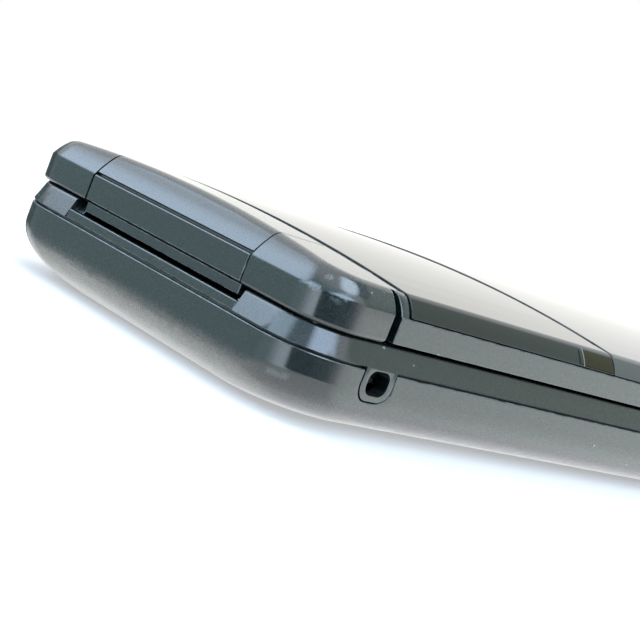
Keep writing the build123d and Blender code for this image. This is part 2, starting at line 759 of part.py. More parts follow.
def press_key(name, centre, size, corner):
    """Key cap with a thin foot that keeps it under the panel."""
    with BuildPart() as key:
        plate((size[0] + 2 * key_flange, size[1] + 2 * key_flange), corner, centre,
              (key_foot_z, key_foot_z + key_foot))
        plate(size, corner, centre, (key_foot_z, key_top_z))
        chamfer(key.faces().sort_by(Axis.Z)[-1].edges(), key_bevel)
    save(key.part, name)


number_names = ["key_star", "key_0", "key_hash", "key_7", "key_8", "key_9", "key_4", "key_5", "key_6",
                "key_1", "key_2", "key_3"]
for name, spot in zip(number_names, number_spots):
    press_key(name, spot, (number_width, number_height), number_corner)
for name, spot in zip(["key_call", "key_clear", "key_end"], call_spots):
    press_key(name, spot, (number_width, number_height), number_corner)
for name, spot in zip(["key_menu", "key_camera", "key_mail", "key_web"], soft_spots):
    press_key(name, spot, (soft_width, soft_height), soft_corner)

# Direction ring and the OK key inside it
with BuildPart() as key_ring:
    upright(nav_radius + key_flange, (0, nav_y), (key_foot_z, key_foot_z + key_foot))
    upright(nav_radius, (0, nav_y), (key_foot_z, key_top_z))
    chamfer(key_ring.faces().sort_by(Axis.Z)[-1].edges(), key_bevel)
    upright(nav_waist, (0, nav_y), (0, above_all), Mode.SUBTRACT)
save(key_ring.part, "key_ring")
with BuildPart() as key_ok:
    upright(ok_radius, (0, nav_y), (key_foot_z, key_top_z))
    chamfer(key_ok.faces().sort_by(Axis.Z)[-1].edges(), key_bevel)
save(key_ok.part, "key_ok")

# Main board under the deck, with what is soldered to it
with BuildPart() as main_board:
    plate((2 * board_half, board_length), pocket_corner - pocket_step, (0, board_front - board_length / 2),
          (board_floor_z, deck_floor_z))
    for spot in screw_spots:
        upright(screw_radius, spot, (0, above_all), Mode.SUBTRACT)
    block((-half_width, post_inset + post_radius + seam_gap - half_width),
          (tab_y - tab_width / 2, tab_y + tab_width / 2), (0, above_all), Mode.SUBTRACT)
save(main_board.part, "main_board")
with BuildPart() as board_screws:
    for spot in screw_spots:
        upright(screw_head, spot, (board_floor_z - screw_head_height, board_floor_z))
        upright(screw_radius, spot, (board_floor_z - screw_head_height, seam_z - fit_gap))
save(board_screws.part, "board_screws")
with BuildPart() as shield_can:
    plate((shield_right - shield_left, shield_front - shield_back), glass_corner,
          ((shield_left + shield_right) / 2, (shield_front + shield_back) / 2),
          (board_floor_z - shield_height, board_floor_z))
save(shield_can.part, "shield_can")
with BuildPart() as battery:
    plate((2 * battery_half, battery_front - battery_back), glass_corner,
          (0, (battery_front + battery_back) / 2), (battery_floor_z, deck_floor_z - battery_top_gap))
save(battery.part, "battery")
with BuildPart() as battery_terminals:
    block((-terminal_half, terminal_half), (battery_front + fit_gap, board_back + terminal_depth),
          (board_floor_z - terminal_drop, board_floor_z))
save(battery_terminals.part, "battery_terminals")
with BuildPart() as card_holder:
    plate((card_width, card_length), glass_corner, (card_x, card_y),
          (board_floor_z - card_height, board_floor_z))
save(card_holder.part, "card_holder")
with BuildPart() as loudspeaker:
    upright(speaker_radius, (speaker_x, speaker_y), (inside_floor_z, board_floor_z))
save(loudspeaker.part, "loudspeaker")
with BuildPart() as microphone:
    upright(mic_radius, (0, mic_y), (deck_floor_z - mic_height, deck_floor_z))
save(microphone.part, "microphone")
with BuildPart() as vibration_motor:
    upright(motor_radius, (motor_x, motor_y), (board_floor_z - motor_height, board_floor_z))
save(vibration_motor.part, "vibration_motor")
with BuildPart() as camera_module:
    plate((camera_side, camera_side), glass_corner, (0, camera_y),
          (inside_floor_z + cover_wall, board_floor_z))
    upright(camera_radius - camera_ring, (0, camera_y), (inside_floor_z, inside_floor_z + cover_wall))
save(camera_module.part, "camera_module")
with BuildPart() as camera_window:
    upright(camera_radius - fit_gap, (0, camera_y), (fit_gap, cover_wall))
save(camera_window.part, "camera_window")

# Socket behind the port cover, an open shell with a tongue
socket_front = half_width - port_wall - seam_gap
socket_back = socket_front - socket_depth
socket_low_z = board_floor_z - socket_height
with BuildPart() as usb_socket:
    block((socket_back, socket_front), (port_y - socket_half, port_y + socket_half),
          (socket_low_z, board_floor_z))
    block((socket_back + socket_shell, half_width),
          (port_y - socket_half + socket_shell, port_y + socket_half - socket_shell),
          (socket_low_z + socket_shell, board_floor_z - socket_shell), Mode.SUBTRACT)
    block((socket_back, socket_front - socket_shell),
          (port_y - socket_half + tongue_inset, port_y + socket_half - tongue_inset),
          (socket_low_z + tongue_rise, socket_low_z + tongue_rise + tongue_thickness))
save(usb_socket.part, "usb_socket")
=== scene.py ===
# %% [markdown]
# # A closed flip phone, dressed for its portrait
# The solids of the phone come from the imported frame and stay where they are. This lesson gives them
# edges, paint, glass and print. We start by loading the frame and keeping its box, because nothing that
# is added later may make the phone any bigger.

# %% Load the frame
import json
import math
import bmesh
import bpy
from mathutils import Matrix, Vector
from mathutils.bvhtree import BVHTree


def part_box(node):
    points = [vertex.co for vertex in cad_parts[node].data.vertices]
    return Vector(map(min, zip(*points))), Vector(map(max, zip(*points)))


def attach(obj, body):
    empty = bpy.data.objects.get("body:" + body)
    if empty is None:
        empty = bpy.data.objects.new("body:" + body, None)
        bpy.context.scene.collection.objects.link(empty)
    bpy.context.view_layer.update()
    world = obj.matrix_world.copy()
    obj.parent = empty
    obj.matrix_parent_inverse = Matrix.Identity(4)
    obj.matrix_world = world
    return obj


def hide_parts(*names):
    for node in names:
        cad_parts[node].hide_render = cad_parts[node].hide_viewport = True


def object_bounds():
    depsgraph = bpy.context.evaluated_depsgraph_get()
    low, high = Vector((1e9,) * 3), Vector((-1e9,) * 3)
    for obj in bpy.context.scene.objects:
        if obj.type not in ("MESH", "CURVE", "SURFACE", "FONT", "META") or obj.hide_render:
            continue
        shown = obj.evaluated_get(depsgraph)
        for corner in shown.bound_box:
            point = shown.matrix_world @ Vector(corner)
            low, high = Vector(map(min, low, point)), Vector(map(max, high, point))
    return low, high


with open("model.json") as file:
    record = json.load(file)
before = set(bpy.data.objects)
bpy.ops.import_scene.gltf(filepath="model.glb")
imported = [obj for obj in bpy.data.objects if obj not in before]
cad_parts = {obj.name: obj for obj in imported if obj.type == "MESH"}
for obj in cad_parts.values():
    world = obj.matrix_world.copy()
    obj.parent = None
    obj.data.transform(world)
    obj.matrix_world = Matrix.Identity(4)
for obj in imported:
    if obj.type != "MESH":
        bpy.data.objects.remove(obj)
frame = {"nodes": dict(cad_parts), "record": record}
cad_box = [list(corner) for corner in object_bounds()]
nodes = frame["nodes"]
scene = bpy.context.scene
MM = 0.001
print(len(nodes), "nodes, box in mm", [[round(value / MM, 2) for value in corner] for corner in cad_box])

# %% [markdown]
# ## The camera
# The phone was photographed from close by, over its hinge corner, with the camera rolled to one side. A
# camera could be aimed with angles, but a rolled one is easier to read as directions: where it looks,
# and what is to its right.

# %% Camera
look = Vector((0.6797, -0.7238, -0.1187)).normalized()
to_right = Vector((-0.6467, -0.6678, 0.3685))
up = to_right.cross(look).normalized()
camera_place = Vector((-0.112893, 0.148557, 0.025644))
turned = Matrix((look.cross(up), up, -look)).transposed().to_4x4()
turned.translation = camera_place
camera_data = bpy.data.cameras.new("camera")
camera_data.lens = 84.68
camera_data.sensor_width = 36
camera_data.clip_start = 0.001
camera = bpy.data.objects.new("camera", camera_data)
camera.matrix_world = turned
scene.collection.objects.link(camera)
scene.camera = camera
scene.view_settings.view_transform = "Standard"
print("camera is", round(camera_place.length / MM), "mm from the phone's middle")

# %% [markdown]
# ## The studio
# Gloss shows its surroundings, so the surroundings are half of the look. The phone lies in a white
# tent with soft lights behind its walls and a dark opening that the camera looks in through. Boards and
# lamps could be placed one by one, but a world that is painted by direction has no hard edges and lights
# the phone evenly. Each patch of it is a direction, how far the patch reaches, and a colour. To the
# camera itself, and through glass, the world is plain white.

# %% A helper for node trees
def add(tree, kind, inputs=None, **settings):
    """Add a node, set its settings, and fill its inputs with values or links."""
    made = tree.nodes.new("ShaderNode" + kind)
    for name, value in settings.items():
        setattr(made, name, value)
    for name, value in (inputs or {}).items():
        if isinstance(value, bpy.types.NodeSocket):
            tree.links.new(value, made.inputs[name])
        else:
            made.inputs[name].default_value = value
    return made


def step(tree, value, low, high):
    """A smooth step from 0 at low to 1 at high."""
    inputs = {"Value": value, "From Min": low, "From Max": high}
    return add(tree, "MapRange", inputs, interpolation_type="SMOOTHSTEP").outputs["Result"]


def combined(tree, operation, first, second):
    """A number from two others."""
    return add(tree, "Math", {0: first, 1: second}, operation=operation).outputs["Value"]


def times(tree, first, second):
    """One value times another."""
    return combined(tree, "MULTIPLY", first, second)


def mixed(tree, amount, under, over):
    """One colour laid over another."""
    inputs = {"Factor": amount, "A": under, "B": over}
    return add(tree, "Mix", inputs, data_type="RGBA").outputs["Result"]


print("helpers for node trees: add, step, combined, times, mixed")

# %% World
world = bpy.data.worlds.new("white_tent")
scene.world = world
world.use_nodes = True
tent = world.node_tree
direction = add(tent, "TexCoord").outputs["Generated"]
height = add(tent, "SeparateXYZ", {0: direction}).outputs["Z"]
NO_LIMIT = (-3, -2)
tent_patches = [
    # towards, where it starts and is full, colour, lower and upper limit of height
    ((-0.1, 0.95, 0.3), (0.3, 0.75), (0.36, 0.47, 0.53), (-0.42, -0.2), (0.95, 0.78)),
    ((-0.08, 0.99, -0.12), (0.84, 0.985), (1.6, 1.85, 2.1), (-0.4, -0.25), (0.3, 0.1)),
    ((-0.55, -0.83, -0.25), (0.75, 0.95), (1.25, 1.36, 1.34), NO_LIMIT, (0.02, -0.06)),
    ((0.76, 0.64, -0.1), (0.45, 0.85), (0.46, 0.6, 0.62), (-0.6, -0.28), (0.3, 0.1)),
    ((0.86, 0.5, -0.1), (0.8, 0.96), (0.34, 0.46, 0.47), (-0.6, -0.28), (0.3, 0.1)),
    ((0.98, -0.17, -0.1), (0.86, 0.97), (0.1, 0.14, 0.15), (-0.6, -0.2), NO_LIMIT),
    ((0.77, -0.1, -0.63), (0.86, 0.97), (1.32, 1.37, 1.36), NO_LIMIT, NO_LIMIT),
    ((0.72, -0.69, 0.12), (0.9, 0.98), (1.22, 1.21, 1.17), NO_LIMIT, NO_LIMIT),
    ((-0.48, -0.83, 0.27), (0.8, 0.95), (0.4, 0.48, 0.42), (0.03, 0.12), NO_LIMIT),
    ((-0.25, -0.72, 0.64), (0.86, 0.97), (0.48, 0.57, 0.52), NO_LIMIT, NO_LIMIT),
    ((-0.3, -0.45, 0.84), (0.93, 0.98), (0.2, 0.27, 0.3), NO_LIMIT, NO_LIMIT),
    ((0.2, 0.89, 0.41), (0.91, 0.985), (1.6, 2.1, 2.6), (0.1, 0.3), NO_LIMIT),
    ((0.66, 0.5, 0.56), (0.89, 0.985), (2.15, 2.7, 3.35), (0.15, 0.42), NO_LIMIT),
    ((-0.93, 0.37, 0.0), (0.62, 0.98), (0.05, 0.07, 0.065), (-0.23, -0.19), (0.45, 0.25)),
    ((-0.71, 0.71, 0.0), (0.9, 0.95), (0.0, 0.012, 0.006), (-0.23, -0.19), (0.45, 0.25)),
    ((-0.8, 0.28, 0.53), (0.9, 0.985), (2.6, 3.3, 4.3), NO_LIMIT, NO_LIMIT),
    ((-0.36, -0.1, 0.925), (0.94, 0.995), (3.3, 4.0, 4.7), NO_LIMIT, NO_LIMIT),
]
tent_colour = (0.95, 0.97, 1.0, 1)
for towards, reach, colour, low, high in tent_patches:
    facing = {0: direction, 1: Vector(towards).normalized()}
    dot = add(tent, "VectorMath", facing, operation="DOT_PRODUCT").outputs["Value"]
    amount = step(tent, dot, *reach)
    if low != NO_LIMIT:
        amount = times(tent, amount, step(tent, height, *low))
    if high != NO_LIMIT:
        amount = times(tent, amount, step(tent, height, *high))
    tent_colour = mixed(tent, amount, tent_colour, (*colour, 1))
path = add(tent, "LightPath").outputs
plain = combined(tent, "MAXIMUM", path["Is Camera Ray"], path["Is Transmission Ray"])
seen = mixed(tent, plain, tent_colour, (1, 1, 1, 1))
tent.links.new(seen, tent.nodes["Background"].inputs["Color"])
print(len(tent_patches), "patches in the tent")

# %% [markdown]
# The floor is a plain pale sheet. It keeps the phone's shadow, and the gloss doesn't see it, because the
# tent already has a bright lower half. One wide lamp above gives the shadow a direction.

# %% Floor and lamp
def new_mesh(name, mesh):
    """Turn a bmesh into an object at the origin."""
    data = bpy.data.meshes.new(name)
    mesh.to_mesh(data)
    mesh.free()
    made = bpy.data.objects.new(name, data)
    scene.collection.objects.link(made)
    return made


sheet = bmesh.new()
bmesh.ops.create_grid(sheet, x_segments=1, y_segments=1, size=2.0)
floor = new_mesh("floor", sheet)
floor.visible_glossy = False
pale = bpy.data.materials.new("pale_floor")
pale.use_nodes = True
pale_shader = pale.node_tree.nodes["Principled BSDF"]
pale_shader.inputs["Base Color"].default_value = (0.8, 0.8, 0.8, 1)
pale_shader.inputs["Roughness"].default_value = 0.9
pale_shader.inputs["Emission Color"].default_value = (1, 1, 1, 1)
pale_shader.inputs["Emission Strength"].default_value = 0.35
floor.data.materials.append(pale)

lamp_data = bpy.data.lights.new("wide_lamp", "AREA")
lamp_data.size = 0.5
lamp_data.energy = 0.6
lamp = bpy.data.objects.new("wide_lamp", lamp_data)
lamp.location = (0.1, 0.1, 0.6)
lamp.visible_glossy = False
scene.collection.objects.link(lamp)
print("floor and lamp are in place")

# %% [markdown]
# ## Effects that several finishes share
# Mica flakes, worn edges with a painted highlight, scuffs, dust and the grain of moulded plastic turn up
# on more than one finish. Each is a node group with its own inputs, built once. Flakes are the cells of a
# fine Voronoi
# pattern: a share of the cells is flake and the rest is dark base, and every cell leans its own way, so
# that single flakes flash.

# %% Flakes
def new_group(name, inputs, outputs):
    """An empty node group with named sockets."""
    group = bpy.data.node_groups.new(name, "ShaderNodeTree")
    for label, kind, value in inputs:
        kind = "NodeSocket" + kind
        socket = group.interface.new_socket(name=label, in_out="INPUT", socket_type=kind)
        socket.default_value = value
    for label, kind in outputs:
        kind = "NodeSocket" + kind
        group.interface.new_socket(name=label, in_out="OUTPUT", socket_type=kind)
    given = group.nodes.new("NodeGroupInput").outputs
    result = group.nodes.new("NodeGroupOutput").inputs
    return group, given, result


def vector_step(tree, operation, first, second):
    """A new vector from two others."""
    return add(tree, "VectorMath", {0: first, 1: second}, operation=operation).outputs["Vector"]


def scaled(tree, vector, scale):
    """A vector made longer or shorter."""
    return add(tree, "VectorMath", {0: vector, "Scale": scale}, operation="SCALE").outputs["Vector"]


def measured(tree, operation, first, second):
    """A number from two vectors."""
    return add(tree, "VectorMath", {0: first, 1: second}, operation=operation).outputs["Value"]


def object_place(tree):
    """The place on the piece, in metres."""
    return add(tree, "TexCoord").outputs["Object"]


flakes, given, result = new_group(
    "mica_flakes",
    [("Scale", "Float", 9000.0), ("Share", "Float", 0.3), ("Lean", "Float", 0.5),
     ("Base", "Color", (0.006, 0.014, 0.013, 1)), ("Flake", "Color", (0.13, 0.18, 0.25, 1))],
    [("Color", "Color"), ("Mask", "Float"), ("Normal", "Vector")])
cells = add(flakes, "TexVoronoi", {"Vector": object_place(flakes), "Scale": given["Scale"]})
chance = add(flakes, "SeparateColor", {"Color": cells.outputs["Color"]}).outputs["Red"]
is_flake = combined(flakes, "LESS_THAN", chance, given["Share"])
centred = vector_step(flakes, "SUBTRACT", cells.outputs["Color"], (0.5, 0.5, 0.5))
lean = scaled(flakes, centred, given["Lean"])
surface = add(flakes, "NewGeometry").outputs["Normal"]
tilted = vector_step(flakes, "ADD", surface, lean)
unit = add(flakes, "VectorMath", {0: tilted}, operation="NORMALIZE").outputs["Vector"]
flakes.links.new(mixed(flakes, is_flake, given["Base"], given["Flake"]), result["Color"])
flakes.links.new(is_flake, result["Mask"])
flakes.links.new(unit, result["Normal"])
print("group", flakes.name)

# %% [markdown]
# Paint wears off along edges first. The shells below carry a vertex attribute named edge that is 1 in
# the middle of each rounded edge, and this group breaks it up with noise. The light colour it lays along
# the edges is partly wear and partly a painted highlight, the thin line of light that a rounded edge
# catches. A scuff is a short stroke in space with a ragged rim: where it meets the surface, the paint is
# rubbed. Dust is a few small round specks.

# %% Wear with painted edge highlights, scuffs and dust
# Edge mask: wear and a painted highlight line along every rounded edge.
wear_and_highlight, given, result = new_group("edge_wear_and_highlight", [("Scale", "Float", 900.0), ("Amount", "Float", 0.5)],
                                [("Mask", "Float")])
edge = add(wear_and_highlight, "Attribute", attribute_name="edge").outputs["Fac"]
ragged = add(wear_and_highlight, "TexNoise", {"Vector": object_place(wear_and_highlight), "Scale": given["Scale"], "Detail": 3.0})
worn_and_highlit = times(wear_and_highlight, edge, step(wear_and_highlight, ragged.outputs["Fac"], 0.3, 0.6))
wear_and_highlight.links.new(times(wear_and_highlight, worn_and_highlit, given["Amount"]), result["Mask"])

scuff, given, result = new_group(
    "scuff", [("Start", "Vector", (0.0, 0.0, 0.0)), ("End", "Vector", (0.0, 0.0, 0.001)),
              ("Reach", "Float", 0.001), ("Scale", "Float", 8000.0), ("Amount", "Float", 0.7)],
    [("Mask", "Float")])
here = object_place(scuff)
noise = add(scuff, "TexNoise", {"Vector": here, "Scale": given["Scale"], "Detail": 4.0})
ragged = {"Value": noise.outputs["Fac"], "From Min": 0.3, "From Max": 0.7}
along = vector_step(scuff, "SUBTRACT", given["End"], given["Start"])
from_start = vector_step(scuff, "SUBTRACT", here, given["Start"])
gone = measured(scuff, "DOT_PRODUCT", from_start, along)
length = measured(scuff, "DOT_PRODUCT", along, along)
share = add(scuff, "Math", {0: gone, 1: length}, operation="DIVIDE", use_clamp=True).outputs["Value"]
apart = measured(scuff, "DISTANCE", from_start, scaled(scuff, along, share))
away = combined(scuff, "DIVIDE", apart, given["Reach"])
rough = add(scuff, "MapRange", ragged).outputs["Result"]
torn = combined(scuff, "SUBTRACT", rough, away)
scuff.links.new(times(scuff, step(scuff, torn, -0.35, 0.25), given["Amount"]), result["Mask"])

dust, given, result = new_group("dust", [("Scale", "Float", 700.0), ("Share", "Float", 0.02)],
                                [("Mask", "Float")])
cells = add(dust, "TexVoronoi", {"Vector": object_place(dust), "Scale": given["Scale"]})
chance = add(dust, "SeparateColor", {"Color": cells.outputs["Color"]}).outputs["Green"]
chosen = combined(dust, "LESS_THAN", chance, given["Share"])
dust.links.new(times(dust, chosen, step(dust, cells.outputs["Distance"], 0.14, 0.06)), result["Mask"])

grain, given, result = new_group("moulded_grain", [("Scale", "Float", 4000.0)],
                                 [("Height", "Float"), ("Tone", "Float")])
fine = add(grain, "TexNoise", {"Vector": object_place(grain), "Scale": given["Scale"], "Detail": 2.0})
cloudy = add(grain, "TexNoise", {"Vector": object_place(grain), "Scale": 120.0, "Detail": 2.0})
grain.links.new(fine.outputs["Fac"], result["Height"])
grain.links.new(cloudy.outputs["Fac"], result["Tone"])
print("groups", wear_and_highlight.name, scuff.name, dust.name, grain.name)

# %% [markdown]
# ## Finishes
# Each finish is one material. Values that are the same all over sit on the shader's own sockets, and
# only what changes over the surface comes through nodes. The pearl paint is the finish that the phone is
# known by: mica flakes in a blue-black base under a thick clear coat. It could be a plain dark colour
# with a sheen, but then no single flake would flash on the slopes. The scuffs are where the
# hinge corner has been knocked and rubbed.

# %% Pearl paint
finishes = {}


def new_finish(name, plain):
    """A material whose even values are set on the shader's own sockets."""
    material = bpy.data.materials.new(name)
    material.use_nodes = True
    tree = material.node_tree
    shader = tree.nodes["Principled BSDF"]
    for socket, value in plain.items():
        shader.inputs[socket].default_value = value
    finishes[name] = material
    return tree, shader.inputs


def effect(tree, group, **inputs):
    """Place one of the shared groups."""
    return add(tree, "Group", inputs, node_tree=group).outputs


def spread(tree, value, low, high):
    """A value from 0 to 1, spread between two others."""
    return add(tree, "MapRange", {"Value": value, "To Min": low, "To Max": high}).outputs["Result"]


rubbed_strokes = [
    # from and to in mm, how far in mm, how much
    ((-21.65, 52.67, 13.58), (-21.95, 52.45, 13.64), 0.42, 0.4),
    ((-20.1, 54.2, 12.42), (-21.2, 53.85, 12.47), 0.2, 0.25),
    ((-21.2, 53.85, 12.5), (-22.0, 53.5, 12.56), 0.45, 0.4),
    ((-22.9, 52.8, 12.5), (-24.0, 51.7, 12.4), 0.2, 0.3),
    ((-23.2, 52.65, 12.15), (-23.7, 52.2, 12.0), 0.34, 0.14),
    ((-20.9, 54.3, 4.0), (-22.3, 53.5, 4.1), 0.5, 0.18),
    ((-24.29, 45.01, 9.19), (-24.31, 44.9, 9.2), 0.16, 0.8),
    ((-24.62, 40.44, 8.29), (-24.62, 40.3, 8.29), 0.12, 0.6),
    ((-23.4, 47.5, 14.0), (-23.65, 47.0, 13.94), 0.12, 0.4),
]
# Worn paint shows this bare colour; along the rounded edges it is also a painted highlight line.
BARE_AND_HIGHLIGHT_COLOUR = (0.36, 0.43, 0.44, 1)
SPECK_COLOUR = (0.4, 0.42, 0.42, 1)
tree, sockets = new_finish("pearl_paint", {"Coat IOR": 1.9, "Coat Roughness": 0.05})
mica = effect(tree, flakes, Scale=15000.0, Share=0.3, Lean=0.5, Base=(0.005, 0.012, 0.011, 1),
              Flake=(0.028, 0.05, 0.058, 1))
# Edge mask: partly wear, partly a painted highlight along every rounded edge.
worn_and_highlit = effect(tree, wear_and_highlight, Scale=700.0, Amount=0.42)["Mask"]
for start, end, reach, amount in rubbed_strokes:
    mark = effect(tree, scuff, Start=Vector(start) * MM, End=Vector(end) * MM, Reach=reach * MM,
                  Amount=amount)["Mask"]
    worn_and_highlit = combined(tree, "MAXIMUM", worn_and_highlit, mark)
specks = effect(tree, dust, Scale=900.0, Share=0.02)["Mask"]
whole = combined(tree, "SUBTRACT", 1.0, worn_and_highlit)
coloured = mixed(tree, worn_and_highlit, mica["Color"], BARE_AND_HIGHLIGHT_COLOUR)
tree.links.new(mixed(tree, specks, coloured, SPECK_COLOUR), sockets["Base Color"])
tree.links.new(times(tree, mica["Mask"], whole), sockets["Metallic"])
tree.links.new(spread(tree, worn_and_highlit, 0.4, 0.62), sockets["Roughness"])
tree.links.new(whole, sockets["Coat Weight"])
tree.links.new(mica["Normal"], sockets["Normal"])
print("pearl paint with", len(rubbed_strokes), "rubbed strokes")

# %% [markdown]
# Moulded plastic, rubber and film all have a fine grain, a slow change of tone and a little dust, so one
# function makes them. The lid's panels are polished instead: nearly black, with faint smudges that only
# show in the roughness. Glass is polished too, clear over the camera and tinted over the display.

# %% Plastics, rubber and polished panels
def moulded(name, dark, light, roughness, scale, depth):
    """Grained stuff, from its dark to its light tone, with its depth in mm."""
    tree, sockets = new_finish(name, {})
    grained = effect(tree, grain, Scale=scale)
    specks = effect(tree, dust, Scale=600.0, Share=0.012)["Mask"]
    tone = mixed(tree, grained["Tone"], (*dark, 1), (*light, 1))
    tree.links.new(mixed(tree, specks, tone, (0.22, 0.22, 0.21, 1)), sockets["Base Color"])
    tree.links.new(spread(tree, grained["Tone"], *roughness), sockets["Roughness"])
    bump = add(tree, "Bump", {"Strength": 0.6, "Distance": depth * MM, "Height": grained["Height"]})
    tree.links.new(bump.outputs["Normal"], sockets["Normal"])


def polished(name, colour, smudge, plain):
    """Polished stuff, with smudges in its gloss and a few specks."""
    tree, sockets = new_finish(name, plain)
    cloudy = effect(tree, grain, Scale=300.0)
    specks = effect(tree, dust, Scale=500.0, Share=0.02)["Mask"]
    tree.links.new(mixed(tree, specks, (*colour, 1), (0.3, 0.3, 0.3, 1)), sockets["Base Color"])
    tree.links.new(spread(tree, cloudy["Tone"], *smudge), sockets["Roughness"])


moulded("dark_plastic", (0.013, 0.014, 0.016), (0.024, 0.026, 0.03), (0.38, 0.5), 3500.0, 0.012)
moulded("key_plastic", (0.04, 0.05, 0.066), (0.055, 0.066, 0.088), (0.28, 0.4), 5000.0, 0.008)
moulded("soft_rubber", (0.024, 0.024, 0.024), (0.038, 0.038, 0.038), (0.65, 0.8), 2500.0, 0.02)
moulded("contact_film", (0.4, 0.2, 0.045), (0.5, 0.27, 0.075), (0.3, 0.42), 1500.0, 0.01)
polished("gloss_panel", (0.012, 0.015, 0.014), (0.015, 0.06), {"IOR": 1.7})
polished("window_panel", (0.075, 0.08, 0.075), (0.02, 0.07), {"IOR": 1.75})
polished("smoked_lens", (0.03, 0.024, 0.01), (0.12, 0.24), {"IOR": 1.3})
for name, colour, clearness in (("clear_glass", (0.72, 0.75, 0.78), 1.0),
                                ("tinted_glass", (0.012, 0.013, 0.016), 0.25)):
    polished(name, colour, (0.0, 0.03), {"Transmission Weight": clearness, "IOR": 1.45})
print(len(finishes), "finishes so far")

# %% [markdown]
# Rolled steel and plated contacts have fine lines along one way. Noise that is squeezed across the lines
# gives them. The boards and the displays are mostly hidden, and get a pattern of small tiles: copper
# runs on the laminate, and the pixel grid on the switched-off displays.

# %% Metals, boards and displays
brushed, given, result = new_group("drawn_lines", [("Across", "Float", 6000.0)], [("Lines", "Float")])
stretch = add(brushed, "CombineXYZ", {"X": 150.0, "Y": given["Across"], "Z": given["Across"]})
squeezed = vector_step(brushed, "MULTIPLY", object_place(brushed), stretch.outputs["Vector"])
lines = add(brushed, "TexNoise", {"Vector": squeezed, "Scale": 1.0, "Detail": 2.0})
brushed.links.new(lines.outputs["Fac"], result["Lines"])


def metal(name, dark, light, roughness):
    """Metal with fine drawn lines."""
    tree, sockets = new_finish(name, {"Metallic": 1.0})
    drawn = effect(tree, brushed, Across=5000.0)["Lines"]
    tree.links.new(mixed(tree, drawn, (*dark, 1), (*light, 1)), sockets["Base Color"])
    tree.links.new(spread(tree, drawn, *roughness), sockets["Roughness"])
    bump = add(tree, "Bump", {"Strength": 0.4, "Distance": 0.005 * MM, "Height": drawn})
    tree.links.new(bump.outputs["Normal"], sockets["Normal"])


def tiled(name, tile, line, pitch, plain):
    """Small tiles with lines between them."""
    tree, sockets = new_finish(name, plain)
    inputs = {"Vector": object_place(tree), "Color1": (*tile[0], 1), "Color2": (*tile[1], 1),
              "Mortar": (*line, 1), "Scale": 1 / (pitch * MM), "Mortar Size": 0.06, "Brick Width": 1.0,
              "Row Height": 1.0}
    tiles = add(tree, "TexBrick", inputs, offset=0.0)
    cloudy = effect(tree, grain, Scale=400.0)
    tree.links.new(tiles.outputs["Color"], sockets["Base Color"])
    tree.links.new(spread(tree, cloudy["Tone"], 0.2, 0.4), sockets["Roughness"])


metal("steel", (0.46, 0.47, 0.48), (0.6, 0.61, 0.62), (0.28, 0.42))
metal("contacts", (0.66, 0.48, 0.18), (0.8, 0.62, 0.3), (0.2, 0.34))
metal("grille", (0.1, 0.1, 0.11), (0.17, 0.17, 0.18), (0.3, 0.45))
tiled("circuit_board", ((0.02, 0.1, 0.05), (0.03, 0.14, 0.075)), (0.16, 0.2, 0.08), 1.27, {})
tiled("display", ((0.012, 0.013, 0.017), (0.015, 0.016, 0.02)), (0.006, 0.006, 0.008), 0.18,
      {"IOR": 1.5})
for name, ink in (("white_print", (0.72, 0.74, 0.74)), ("green_print", (0.05, 0.5, 0.12)),
                  ("red_print", (0.6, 0.05, 0.04))):
    moulded(name, ink, tuple(0.9 * share for share in ink), (0.4, 0.5), 4000.0, 0.003)
print(len(finishes), "finishes")

# %% [markdown]
# ## Shells with soft edges, paint, and painted shade in the seams
# Machined-looking edges give a model away, because moulded edges are always a little round. Each visible
# solid is replaced by a copy with its outer edges rounded. A bevel only takes material off, so the copy
# stays inside the solid. Paint is sprayed on from outside, and the hidden inner walls stay bare black
# plastic. Where the rest of the body is close in front of a face, as in a seam or behind the hinge, the
# face gets the bare black plastic too: there it is painted shade, standing in for the shadow in the gap.

# %% What a spray gun reaches, and painted shade in the seams
record = frame["record"]
slot_of = {row["node"]: row["material_slot"] for row in record["subparts"]}
bodies = record["behaviour"]["bodies"]
body_of = {node: body for body, members in bodies.items() for node in members}
# Rays from each face test how closely the rest of its body hems it in; a hemmed-in face gets painted
# shade.
SPRAY_AND_SHADE_DISTANCE = 12 * MM
SPRAY_AND_SHADE_START = 0.15 * MM
SPRAY_AND_SHADE_LEAN = math.radians(52)
WAYS_NEEDED = 3


def body_surface(body):
    """All solids of one body as one search tree."""
    corners, triangles = [], []
    for node in bodies[body]:
        first = len(corners)
        corners += [vertex.co.copy() for vertex in nodes[node].data.vertices]
        for face in nodes[node].data.polygons:
            triangles.append([first + index for index in face.vertices])
    return BVHTree.FromPolygons(corners, triangles)


def is_sprayed_and_unshaded(surface, point, normal):
    """True where at least three of seven ways out are free; a face hemmed in more gets painted shade."""
    side = normal.orthogonal().normalized()
    aims = [normal]
    for turn in range(6):
        around = Matrix.Rotation(turn * math.pi / 3, 3, normal) @ side
        aims.append(normal * math.cos(SPRAY_AND_SHADE_LEAN) + around * math.sin(SPRAY_AND_SHADE_LEAN))
    start = point + normal * SPRAY_AND_SHADE_START
    free = [aim for aim in aims if surface.ray_cast(start, aim, SPRAY_AND_SHADE_DISTANCE)[0] is None]
    return len(free) >= WAYS_NEEDED


surfaces = {body: body_surface(body) for body in ("base", "lid", "port_cover")}
print("search trees for", list(surfaces))

# %% Pieces from meshes
CREASE = math.radians(40)
SAME_PLACE = 1e-6
NEARLY_FLAT = math.radians(0.4)


